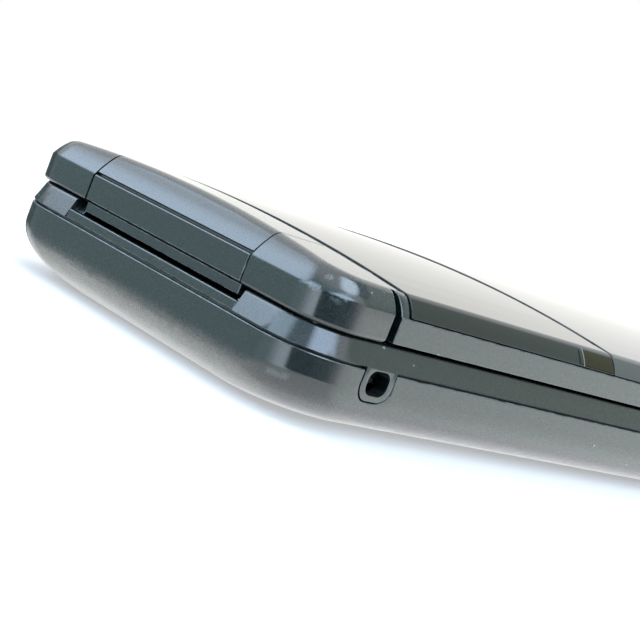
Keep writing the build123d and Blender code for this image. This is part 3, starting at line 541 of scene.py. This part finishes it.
def place_piece(name, mesh, finish, body, hides=()):
    """Make a finished piece of a bmesh, on its body."""
    piece = new_mesh(name, mesh)
    data = piece.data
    if "custom_normal" in data.attributes:
        data.attributes.remove(data.attributes["custom_normal"])
    data.polygons.foreach_set("use_smooth", [True] * len(data.polygons))
    data.set_sharp_from_angle(angle=CREASE)
    data.materials.append(finishes[finish])
    piece.modifiers.new("even_shading", "WEIGHTED_NORMAL").keep_sharp = True
    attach(piece, body)
    if hides:
        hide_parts(*hides)
    return piece


def solid_copy(node):
    """A CAD node's mesh with its triangles joined up again."""
    mesh = bmesh.new()
    mesh.from_mesh(nodes[node].data)
    bmesh.ops.remove_doubles(mesh, verts=mesh.verts, dist=SAME_PLACE)
    bmesh.ops.dissolve_limit(mesh, angle_limit=NEARLY_FLAT, verts=mesh.verts, edges=mesh.edges)
    return mesh


print("ready to make pieces")

# %% [markdown]
# The slopes of the lid and the knuckles aren't flat on the real phone: they swell a little, and the light
# runs out softly over them. Each slope is cut into rows, and the rows are pushed out along the slope's
# own direction, most at half of its height and not at all at its foot and at the crest. The panels are
# also trimmed a hair short, which leaves the dark line that they have above the side of the lid, and the
# cover panel sinks a tenth of a millimetre towards the split, so that the window's edge shows as a step.
# The barrel has a fine groove under its face, and the lip below it leans back a little.

# %% Swollen slopes
BAND_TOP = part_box("cover_panel")[0][2]
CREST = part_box("cover_panel")[1][2]
CROWN_RADIUS = 220 * MM
SLOPE_RISE = (0.594, 0.985)  # how far up the normal of a slope points, from and to
SWELL = 0.15 * MM
SWELL_ROWS = 8
SWELL_ROW = 0.33 * MM
PANEL_TRIM = 0.1 * MM
SPLIT_SINK = 0.06  # mm, at the hinge end, and twice that at the split
GROOVE_TOP = 9.6 * MM
GROOVE_DEPTH = 0.35 * MM
BARREL_HALF = 13.1
BARREL_FACE = (53.0, 54.0)
COVER_DROP = Vector((0, 0.096, -0.12)) * MM
LIP_LEAN = 0.12 * MM
LIP_FOOT = 7.9 * MM


def everything(mesh):
    """All of a mesh, for operators that want it spelled out."""
    return mesh.verts[:] + mesh.edges[:] + mesh.faces[:]


def cut_level(mesh, geom, level, clear=False):
    """Cut along a level, and clear away what is below it if asked."""
    return bmesh.ops.bisect_plane(mesh, geom=geom, plane_co=(0, 0, level), plane_no=(0, 0, 1),
                                  clear_inner=clear)


def swell_slopes(mesh):
    """Push the sloped faces out a little, in a soft curve."""
    for row in range(1, SWELL_ROWS + 1):
        cut_level(mesh, everything(mesh), BAND_TOP + row * SWELL_ROW)
    mesh.normal_update()
    moves = []
    for corner in mesh.verts:
        normals = [face.normal for face in corner.link_faces]
        slopes = [normal for normal in normals if SLOPE_RISE[0] < normal.z < SLOPE_RISE[1]]
        top = CREST - corner.co.x ** 2 / (2 * CROWN_RADIUS)
        share = (corner.co.z - BAND_TOP) / (top - BAND_TOP)
        if slopes and 0 < share < 1:
            outward = sum(slopes, Vector()).normalized()
            moves.append((corner, outward * SWELL * 4 * share * (1 - share)))
    for corner, move in moves:
        corner.co += move
    mesh.normal_update()


def trim_panel(mesh):
    """Take off a panel's lower edge and close the cut."""
    cut = cut_level(mesh, everything(mesh), BAND_TOP + PANEL_TRIM, clear=True)
    rim = [item for item in cut["geom_cut"] if isinstance(item, bmesh.types.BMEdge)]
    bmesh.ops.holes_fill(mesh, edges=rim)


def sink_split(mesh):
    """Lower the cover panel towards the split."""
    low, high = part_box("cover_panel")
    for corner in mesh.verts:
        if corner.co.z > BAND_TOP + 0.3 * MM:
            share = (high[1] - corner.co.y) / (high[1] - low[1])
            corner.co.z -= (SPLIT_SINK + SPLIT_SINK * share) * MM


def cut_groove(mesh):
    """Press a fine groove into the barrel, below the step of its face."""
    def lower_face(face):
        middle = face.calc_center_median() / MM
        in_front = BARREL_FACE[0] < middle.y < BARREL_FACE[1] and face.normal.y > 0.9
        return in_front and abs(middle.x) < BARREL_HALF
    front = [face for face in mesh.faces if lower_face(face)]
    edges = list({edge for face in front for edge in face.edges})
    corners = list({corner for face in front for corner in face.verts})
    cut_level(mesh, front + edges + corners, GROOVE_TOP)
    strip = [face for face in mesh.faces
             if lower_face(face) and face.calc_center_median().z > GROOVE_TOP]
    made = bmesh.ops.extrude_face_region(mesh, geom=strip)["geom"]
    pushed = [item for item in made if isinstance(item, bmesh.types.BMVert)]
    bmesh.ops.translate(mesh, verts=pushed, vec=(0, -GROOVE_DEPTH, 0))
    bmesh.ops.delete(mesh, geom=strip, context="FACES")
    print("groove in", len(strip), "faces of the barrel")


def close_groove(mesh):
    """Bring the barrel cover's lower edge further down over the groove."""
    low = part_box("barrel_cover")[0]
    for corner in mesh.verts:
        if corner.co.z < low[2] + 0.05 * MM and corner.co.y > 53 * MM:
            corner.co += COVER_DROP


def lean_lip(mesh):
    """Lean the lip's outer face back at its top."""
    low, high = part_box("hinge_lip")
    for corner in mesh.verts:
        is_top = corner.co.z > max(low[2] + 0.5 * MM, LIP_FOOT)
        if is_top and corner.co.y > high[1] - 0.01 * MM:
            corner.co.y -= LIP_LEAN


print("slopes run from", round(BAND_TOP / MM, 2), "to", round(CREST / MM, 2), "mm")

# %% Rounded shells
KNUCKLE_START = 13.4 * MM
SHARP = math.radians(30)
ROOM_SHARE = 1.6
OUTSIDE_TURN = 0.35
SHADED_STRIP_Z = (12.5, 12.9)  # mm, the strip behind the barrel that gets bare dark plastic as painted shade
SHADED_STRIP_Y = 52 * MM
KEY_EDGE = 0.05


def room_beside(edge):
    """How far the narrower of an edge's two faces reaches away from it."""
    start = edge.verts[0].co
    along = (edge.verts[1].co - start).normalized()
    reach = []
    for face in edge.link_faces:
        away = [corner.co - start for corner in face.verts]
        reach.append(max((offset - along * offset.dot(along)).length for offset in away))
    return min(reach)


def round_edges(mesh, node, width):
    """Bevel the outer edges, mark them for wear and a painted highlight, and return the faces of the
    bevels.
    """
    wear_and_highlight_mark = mesh.verts.layers.float.new("edge")
    inner = KNUCKLE_START if node.startswith("hinge_cap") else 0
    sharp = []
    for edge in mesh.edges:
        if edge.is_manifold and edge.is_convex and edge.calc_face_angle() > SHARP:
            reach = max(abs(corner.co.x) for corner in edge.verts)
            if reach > inner and room_beside(edge) > ROOM_SHARE * width * MM:
                sharp.append(edge)
    made = bmesh.ops.bevel(mesh, geom=sharp, offset=width * MM, offset_type="OFFSET", affect="EDGES",
                           segments=3, profile=0.5, material=-1, clamp_overlap=False)
    strip = {face for face in made["faces"] if face.is_valid}
    for corner in made["verts"]:
        corner[wear_and_highlight_mark] = 1.0 if all(face in strip for face in corner.link_faces) else 0.0
    return strip


def paint_and_shade(mesh, node, strip):
    """Give every face paint, or bare plastic that is painted shade in seams and gaps, by its material
    index.
    """
    surface = surfaces[body_of[node]]
    for face in mesh.faces:
        middle = face.calc_center_median()
        outside = face in strip and face.normal.xy.length > OUTSIDE_TURN
        paint_unshaded = outside or is_sprayed_and_unshaded(surface, middle, face.normal)
        # Painted shade: the strip behind the barrel always gets bare dark plastic.
        if node == "lid_housing" and SHADED_STRIP_Z[0] < middle.z / MM < SHADED_STRIP_Z[1] and middle.y > SHADED_STRIP_Y:
            paint_unshaded = False
        face.material_index = 0 if paint_unshaded else 1


def rounded_shell(node, width):
    """A finished copy of a CAD node, with its outer edges rounded by a width in mm."""
    mesh = solid_copy(node)
    for shape in shaping.get(node, ()):
        shape(mesh)
    strip = round_edges(mesh, node, width)
    bmesh.ops.triangulate(mesh, faces=[face for face in mesh.faces if len(face.verts) > 4])
    for corner in mesh.verts:
        corner.co.x = max(cad_box[0][0], min(cad_box[1][0], corner.co.x))
    slot = slot_of[node]
    if slot == "pearl_paint":
        paint_and_shade(mesh, node, strip)
    finish = "tinted_glass" if node == "display_glass" else slot
    piece = place_piece(node + "_shell", mesh, finish, body_of[node], [node])
    # The second finish, bare dark plastic, is painted shade on faces in seams and gaps.
    if slot == "pearl_paint":
        piece.data.materials.append(finishes["dark_plastic"])
    return piece


shaping = {
    "cover_panel": (trim_panel, sink_split, swell_slopes), "window_panel": (trim_panel, swell_slopes),
    "lid_housing": (cut_groove, swell_slopes), "barrel_cover": (close_groove, swell_slopes),
    "hinge_cap_left": (swell_slopes,), "hinge_cap_right": (swell_slopes,), "hinge_lip": (lean_lip,),
}
edge_widths = {
    "rear_cover": 0.14, "front_case": 0.04, "hinge_cap_left": 0.18, "hinge_cap_right": 0.18,
    "barrel_cover": 0.05, "lid_housing": 0.12, "hinge_lip": 0.12, "port_cover": 0.1,
    "cover_panel": 0.08, "window_panel": 0.08, "display_bezel": 0.06,
    "display_glass": 0.05, "keypad_panel": 0.05, "camera_window": 0.06, "lid_bumpers": 0.25,
}
keys = [node for node in nodes if slot_of[node] == "key_plastic"]
edge_widths.update({key: KEY_EDGE for key in keys})
shells = {node: rounded_shell(node, width) for node, width in edge_widths.items()}
face_count = sum(len(shell.data.polygons) for shell in shells.values())
print(len(shells), "shells,", face_count, "faces")

# %% Finishes for the solids that stay as they are
for node, solid in nodes.items():
    solid.data.materials.clear()
    solid.data.materials.append(finishes[slot_of[node]])
print("finishes on", len(nodes), "solids")

# %% [markdown]
# ## Print on the keys
# The keys carry plain numbers and simple signs, printed in a thin raised ink. Numbers come from text
# that is turned into a mesh. The signs are built from a few flat shapes: a ring is a filled circle with
# an inset taken out, and a handset is a swept arc with a block at each end.

# %% Numbers and letters
PRINT = 0.012 * MM
NUMBER_HEIGHT = 5.4
LETTER_HEIGHT = 2.6
NUMBER_PLACE = -2.4  # mm from the middle of a key that has letters too
LETTER_PLACE = 2.3
STAR_DROP = -1.1
key_letters = {"key_2": "abc", "key_3": "def", "key_4": "ghi", "key_5": "jkl", "key_6": "mno",
               "key_7": "pqrs", "key_8": "tuv", "key_9": "wxyz"}


def key_middle(key):
    """The middle of a key's top, where print starts."""
    low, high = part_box(key)
    return Vector(((low[0] + high[0]) / 2, (low[1] + high[1]) / 2, high[2]))


def text_mesh(text, height):
    """Raised text about the origin, its height in mm."""
    curve = bpy.data.curves.new("text", "FONT")
    curve.body = text
    curve.size = height
    curve.align_x = "CENTER"
    curve.align_y = "CENTER"
    curve.resolution_u = 4
    curve.extrude = PRINT / MM / 2
    written = bpy.data.objects.new("text", curve)
    data = bpy.data.meshes.new_from_object(written)
    mesh = bmesh.new()
    mesh.from_mesh(data)
    bpy.data.objects.remove(written)
    bmesh.ops.remove_doubles(mesh, verts=mesh.verts, dist=1e-4)
    bmesh.ops.scale(mesh, verts=mesh.verts, vec=(MM, MM, MM))
    return mesh


def print_on(key, part, mesh, offset, ink="white_print"):
    """Set print on a key's top, moved from the key's middle by an offset in mm."""
    spot = key_middle(key) + Vector((*offset, 0)) * MM + Vector((0, 0, PRINT / 4))
    bmesh.ops.translate(mesh, verts=mesh.verts, vec=spot)
    return place_piece(key + "_" + part, mesh, ink, key)


for key in keys:
    digit = {"key_star": "*", "key_hash": "#"}.get(key, key[-1])
    if len(digit) == 1 and (digit in "*#" or digit.isdigit()):
        drop = STAR_DROP if digit == "*" else 0
        aside = NUMBER_PLACE if key in key_letters else 0
        print_on(key, "number", text_mesh(digit, NUMBER_HEIGHT), (aside, drop))
    if key in key_letters:
        print_on(key, "letters", text_mesh(key_letters[key], LETTER_HEIGHT), (LETTER_PLACE, 0))
print("numbers, and letters on", len(key_letters), "keys")

# %% Signs
def flat_ring(mesh, segments, radius, line, stretch=(1, 1), turn=0.0, centre=(0, 0)):
    """A flat outline with this many sides, in mm. Without a line it is filled."""
    made = bmesh.ops.create_circle(mesh, cap_ends=True, segments=segments, radius=radius * MM)
    corners = made["verts"]
    spin = Matrix.Rotation(math.radians(turn), 3, "Z")
    bmesh.ops.rotate(mesh, verts=corners, cent=(0, 0, 0), matrix=spin)
    bmesh.ops.scale(mesh, verts=corners, vec=(*stretch, 1))
    bmesh.ops.translate(mesh, verts=corners, vec=Vector((*centre, 0)) * MM)
    if line:
        inner = list({face for corner in corners for face in corner.link_faces})
        bmesh.ops.inset_region(mesh, faces=inner, thickness=line * MM, use_boundary=True,
                               use_even_offset=True)
        bmesh.ops.delete(mesh, geom=inner, context="FACES_ONLY")


def handset(mesh, turn):
    """A telephone handset: a swept arc with a block at each end."""
    inner = mesh.verts.new((1.5 * MM, 0, 0))
    outer = mesh.verts.new((2.1 * MM, 0, 0))
    line = mesh.edges.new((inner, outer))
    first = Matrix.Rotation(math.radians(turn + 25), 3, "Z")
    bmesh.ops.rotate(mesh, verts=[inner, outer], cent=(0, 0, 0), matrix=first)
    bmesh.ops.spin(mesh, geom=[inner, outer, line], cent=(0, 0, 0), axis=(0, 0, 1),
                   angle=math.radians(130), steps=12)
    for angle in (turn + 22, turn + 158):
        spot = Matrix.Rotation(math.radians(angle), 3, "Z") @ Vector((1.62, 0, 0))
        flat_ring(mesh, 16, 0.62, 0, centre=spot[:2])


def raise_print(mesh):
    """Give flat shapes the thickness of the print."""
    bmesh.ops.recalc_face_normals(mesh, faces=mesh.faces)
    raised = bmesh.ops.extrude_face_region(mesh, geom=mesh.faces[:], use_keep_orig=True)
    top = [item for item in raised["geom"] if isinstance(item, bmesh.types.BMVert)]
    bmesh.ops.translate(mesh, verts=top, vec=(0, 0, PRINT))
    bmesh.ops.translate(mesh, verts=mesh.verts, vec=(0, 0, -PRINT / 2))
    bmesh.ops.recalc_face_normals(mesh, faces=mesh.faces)
    return mesh


signed_keys = ("key_call", "key_end", "key_clear", "key_menu", "key_camera", "key_mail", "key_web",
               "key_ring", "key_ok")
sign_shapes = [
    # key, sides, radius, line, stretch, turn, centre
    ("key_clear", 3, 1.3, 0, (1, 1), 90, (-0.7, 0)),
    ("key_clear", 4, 0.4, 0, (3.0, 0.8), 45, (0.7, 0)),
    ("key_menu", 4, 0.4, 0, (3.4, 0.8), 45, (0, -1.1)),
    ("key_menu", 4, 0.4, 0, (3.4, 0.8), 45, (0, 0)),
    ("key_menu", 4, 0.4, 0, (3.4, 0.8), 45, (0, 1.1)),
    ("key_camera", 4, 1.6, 0.22, (1.2, 0.85), 45, (0, 0)),
    ("key_camera", 24, 0.55, 0.2, (1, 1), 0, (0, 0)),
    ("key_mail", 4, 1.6, 0.22, (1.2, 0.85), 45, (0, 0)),
    ("key_mail", 3, 0.72, 0.2, (1.45, 0.85), -90, (0, 0.1)),
    ("key_web", 32, 1.5, 0.22, (1, 1), 0, (0, 0)),
    ("key_web", 24, 1.5, 0.22, (0.45, 1), 0, (0, 0)),
    ("key_web", 4, 0.2, 0, (10.0, 0.8), 45, (0, 0)),
    ("key_ok", 32, 1.5, 0.25, (1, 1), 0, (0, 0)),
]
for turn in (0, 90, 180, 270):
    spot = Matrix.Rotation(math.radians(turn), 3, "Z") @ Vector((0, 7.3, 0))
    sign_shapes.append(("key_ring", 3, 0.75, 0, (1, 1), turn, spot[:2]))
signs = {key: bmesh.new() for key in signed_keys}
handset(signs["key_call"], 110)
handset(signs["key_end"], 0)
for key, *shape in sign_shapes:
    flat_ring(signs[key], *shape)
for key, mesh in signs.items():
    ink = {"key_call": "green_print", "key_end": "red_print"}.get(key, "white_print")
    print_on(key, "sign", raise_print(mesh), (0, 0), ink)
print("signs on", ", ".join(signs))

# %% [markdown]
# ## Inside the lid
# The display's tinted glass has a black border behind it, round the picture area. The earpiece has a fine
# mesh in its slot, and the screws have a cross recess. The border is a rounded frame, the mesh is a grid
# with every cell inset and opened, and the recess is cut out of a copy of the screws.

# %% Screen border
BORDER_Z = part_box("display_bezel")[1][2]
BORDER_GAP = 0.8 * MM
BORDER_WIDTH = 2.2 * MM
BORDER_CORNER = 0.9 * MM
BORDER_THICKNESS = 0.02 * MM
glass_low, glass_high = (Vector(corner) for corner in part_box("display_glass"))
glass_size = glass_high - glass_low
border = bmesh.new()
bmesh.ops.create_grid(border, x_segments=1, y_segments=1, size=0.5)
outer = (glass_size.x - BORDER_GAP, glass_size.y - BORDER_GAP, 1)
bmesh.ops.scale(border, verts=border.verts, vec=outer)
bmesh.ops.bevel(border, geom=border.verts[:], offset=BORDER_CORNER, affect="VERTICES", segments=5,
                profile=0.5, material=-1)
picture = border.faces[:]
bmesh.ops.inset_region(border, faces=picture, thickness=BORDER_WIDTH, use_boundary=True,
                       use_even_offset=True)
bmesh.ops.delete(border, geom=picture, context="FACES_ONLY")
middle = (glass_low + glass_high) / 2
bmesh.ops.translate(border, verts=border.verts, vec=(middle.x, middle.y, BORDER_Z))
bmesh.ops.solidify(border, geom=border.faces[:], thickness=BORDER_THICKNESS)
bmesh.ops.recalc_face_normals(border, faces=border.faces)
place_piece("screen_border", border, "dark_plastic", "lid")
print("picture area", [round((side - 2 * BORDER_WIDTH) / MM, 1) for side in outer[:2]], "mm")

# %% Earpiece mesh
slot_low, slot_high = (Vector(corner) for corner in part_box("earpiece_grille"))
slot_size = slot_high - slot_low
CELL = 0.26 * MM
WIRE = 0.05 * MM
MESH_THICKNESS = 0.06 * MM
sieve = bmesh.new()
bmesh.ops.create_grid(sieve, x_segments=round(slot_size.x / CELL), y_segments=round(slot_size.y / CELL),
                      size=0.5)
bmesh.ops.scale(sieve, verts=sieve.verts, vec=(slot_size.x, slot_size.y, 1))
round_end = slot_size.y / 2
straight = slot_size.x / 2 - round_end
outside = []
for face in sieve.faces:
    spot = face.calc_center_median()
    past = max(abs(spot.x) - straight, 0)
    if math.hypot(past, spot.y) > round_end - CELL / 2:
        outside.append(face)
bmesh.ops.delete(sieve, geom=outside, context="FACES")
cells = sieve.faces[:]
bmesh.ops.inset_individual(sieve, faces=cells, thickness=WIRE)
bmesh.ops.delete(sieve, geom=cells, context="FACES_ONLY")
middle = (slot_low + slot_high) / 2
bmesh.ops.translate(sieve, verts=sieve.verts, vec=(middle.x, middle.y, slot_low.z - WIRE))
bmesh.ops.solidify(sieve, geom=sieve.faces[:], thickness=MESH_THICKNESS)
bmesh.ops.recalc_face_normals(sieve, faces=sieve.faces)
place_piece("earpiece_mesh", sieve, "steel", "lid")
print("mesh with", len(cells), "holes")

# %% Screws with a cross recess
def carved(node, cutter):
    """A CAD node's mesh with another shape cut out of it."""
    block = new_mesh("block", solid_copy(node))
    tool = new_mesh("tool", cutter)
    cut = block.modifiers.new("cut", "BOOLEAN")
    cut.operation = "DIFFERENCE"
    cut.solver = "EXACT"
    cut.use_self = True
    cut.object = tool
    mesh = bmesh.new()
    mesh.from_object(block, bpy.context.evaluated_depsgraph_get())
    bpy.data.objects.remove(block)
    bpy.data.objects.remove(tool)
    return mesh


screw_low, screw_high = (Vector(corner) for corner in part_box("lid_screws"))
HEAD_RADIUS = 1.2 * MM
CROSS_ARMS = ((1.5, 0.34, 0.4), (0.34, 1.5, 0.4))
crosses = bmesh.new()
for x in (screw_low.x + HEAD_RADIUS, screw_high.x - HEAD_RADIUS):
    for y in (screw_low.y + HEAD_RADIUS, screw_high.y - HEAD_RADIUS):
        for size in CROSS_ARMS:
            arm = bmesh.ops.create_cube(crosses, size=MM)["verts"]
            bmesh.ops.scale(crosses, verts=arm, vec=size)
            bmesh.ops.translate(crosses, verts=arm, vec=(x, y, screw_low.z + 0.05 * MM))
screws = carved("lid_screws", crosses)
place_piece("lid_screws_cross", screws, "steel", "lid", ["lid_screws"])
print("screws with a cross recess")

# %% [markdown]
# ## The smoked lens
# Low on the lid's side is a small brown lens over the indicator light, with a bright polished edge
# towards the hinge. It is a thin film that follows the swollen slope, so it starts as a slab on the flat
# slope and is swollen in the same way. A short black filler closes the panel's cut-out beyond it.

# %% Lens, its bright edge and the filler
LEAN = math.radians(38.6)
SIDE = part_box("cover_panel")[0][0]


def slope_slab(y_range, z_range, sink, proud):
    """A slab on the slope of the -X side, in mm, from a depth to a height over its face."""
    mesh = bmesh.new()
    bmesh.ops.create_cube(mesh, size=1.0)
    height = (z_range[1] - z_range[0]) / math.cos(LEAN)
    bmesh.ops.scale(mesh, verts=mesh.verts, vec=(sink + proud, y_range[1] - y_range[0], height))
    bmesh.ops.translate(mesh, verts=mesh.verts, vec=((sink - proud) / 2, 0, 0))
    bmesh.ops.rotate(mesh, verts=mesh.verts, cent=(0, 0, 0), matrix=Matrix.Rotation(LEAN, 3, "Y"))
    bmesh.ops.scale(mesh, verts=mesh.verts, vec=(MM, MM, MM))
    z = sum(z_range) / 2 * MM
    spot = (SIDE + (z - BAND_TOP) * math.tan(LEAN), sum(y_range) / 2 * MM, z)
    bmesh.ops.translate(mesh, verts=mesh.verts, vec=spot)
    swell_slopes(mesh)
    return mesh


LENS_DEPTH = 0.4
lens_y = (8.25, 14.1)
edge_y = (14.1, 14.27)
filler_y = (14.27, 14.85)
film = slope_slab(lens_y, (12.62, 13.93), LENS_DEPTH, 0.015)
bright_edge = slope_slab(edge_y, (12.5, 14.1), LENS_DEPTH, 0.03)
filler = slope_slab(filler_y, (12.7, 13.85), LENS_DEPTH, 0.0)
place_piece("indicator_lens_film", film, "smoked_lens", "lid", ["indicator_lens"])
place_piece("lens_bright_edge", bright_edge, "steel", "lid")
place_piece("lens_filler", filler, "gloss_panel", "lid")
print("lens", round(lens_y[1] - lens_y[0], 2), "mm long")

# %% [markdown]
# The lip under the barrel ends in two small sloped shelves, one beyond each end of the barrel. They are
# left to this stage because they only fill the corners of the slot.

# %% Shelves at the ends of the lip
SHELF_SIZE = Vector((1.14, 1.95, 1.7)) * MM
SHELF_PLACE = Vector((13.7, 53.33, 8.3)) * MM
SHELF_SLOPE = 1.4 * MM
SHELF_EDGE = 0.1 * MM
shelves = bmesh.new()
for side in (-1, 1):
    made = bmesh.ops.create_cube(shelves, size=1.0)["verts"]
    bmesh.ops.scale(shelves, verts=made, vec=SHELF_SIZE)
    place = (side * SHELF_PLACE.x, SHELF_PLACE.y, SHELF_PLACE.z)
    bmesh.ops.translate(shelves, verts=made, vec=place)
    front = [corner for corner in made if corner.co.y > SHELF_PLACE.y]
    top_front = [corner for corner in front if corner.co.z > SHELF_PLACE.z]
    bmesh.ops.translate(shelves, verts=top_front, vec=(0, -SHELF_SLOPE, 0))
bmesh.ops.bevel(shelves, geom=shelves.edges[:], offset=SHELF_EDGE, offset_type="OFFSET", affect="EDGES",
                segments=2, profile=0.5, material=-1)
place_piece("hinge_lip_shelves", shelves, "pearl_paint", "base")
print("two shelves beside the barrel")

# %% [markdown]
# ## Camera and socket
# Behind the round window in the back is the lens: a barrel that steps inwards, with a small domed glass
# at its end. It is drawn as one stack of insets from a circle, each sunk or raised a little. The socket
# behind the flap has five plated contacts on its tongue.

# %% Camera lens
module_low, module_high = (Vector(corner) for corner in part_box("camera_module"))
centre = (module_low + module_high) / 2
LENS_RADIUS = 3.2 * MM
BARREL_HEIGHT = 1.2 * MM
GLASS_RADIUS = 1.2 * MM
HOLDER_WIDTH = 8.4 * MM
HOLDER_START = 1.15 * MM
barrel_steps = ((0.35, 0.0), (0.12, 0.25), (0.5, 0.0), (0.1, 0.25), (0.45, 0.0), (0.1, 0.2))
dome_steps = ((0.3, -0.1), (0.4, -0.07), (0.4, -0.03))
lens = bmesh.new()
disc = bmesh.ops.create_circle(lens, cap_ends=True, segments=48, radius=LENS_RADIUS)["verts"]
face = disc[0].link_faces[0]
for inset, sink in barrel_steps + dome_steps:
    bmesh.ops.inset_region(lens, faces=[face], thickness=inset * MM, use_boundary=True)
    bmesh.ops.translate(lens, verts=face.verts, vec=(0, 0, sink * MM))
for item in lens.faces:
    if item.calc_center_median().xy.length < GLASS_RADIUS:
        item.material_index = 1
rim = [edge for edge in lens.edges if edge.is_boundary]
wall = bmesh.ops.extrude_edge_only(lens, edges=rim)["geom"]
wall_verts = [item for item in wall if isinstance(item, bmesh.types.BMVert)]
bmesh.ops.translate(lens, verts=wall_verts, vec=(0, 0, BARREL_HEIGHT))
bmesh.ops.holes_fill(lens, edges=[edge for edge in lens.edges if edge.is_boundary])
bmesh.ops.translate(lens, verts=lens.verts, vec=(centre.x, centre.y, module_low.z))
holder_low = module_low.z + HOLDER_START
holder = bmesh.ops.create_cube(lens, size=1.0)["verts"]
bmesh.ops.scale(lens, verts=holder, vec=(HOLDER_WIDTH, HOLDER_WIDTH, module_high.z - holder_low))
bmesh.ops.translate(lens, verts=holder, vec=(centre.x, centre.y, (holder_low + module_high.z) / 2))
bmesh.ops.recalc_face_normals(lens, faces=lens.faces)
camera_lens = place_piece("camera_lens", lens, "dark_plastic", "base", ["camera_module"])
camera_lens.data.materials.append(finishes["gloss_panel"])
print("camera lens", len(camera_lens.data.polygons), "faces")

# %% Socket contacts
socket_low, socket_high = (Vector(corner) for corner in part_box("usb_socket"))
socket_y = (socket_low.y + socket_high.y) / 2
CONTACT_SIZE = (4.4, 0.4, 0.1)
CONTACT_PITCH = 0.9 * MM
CONTACT_EDGE = 0.03 * MM
contact_x = socket_high.x - 3.0 * MM
contact_z = socket_low.z + 1.62 * MM
contacts = bmesh.new()
for place in (-2, -1, 0, 1, 2):
    strip = bmesh.ops.create_cube(contacts, size=MM)["verts"]
    bmesh.ops.scale(contacts, verts=strip, vec=CONTACT_SIZE)
    spot = (contact_x, socket_y + place * CONTACT_PITCH, contact_z)
    bmesh.ops.translate(contacts, verts=strip, vec=spot)
bmesh.ops.bevel(contacts, geom=contacts.edges[:], offset=CONTACT_EDGE, affect="EDGES", segments=2,
                profile=0.5, material=-1)
place_piece("socket_contacts", contacts, "contacts", "base")
print("5 contacts in the socket")
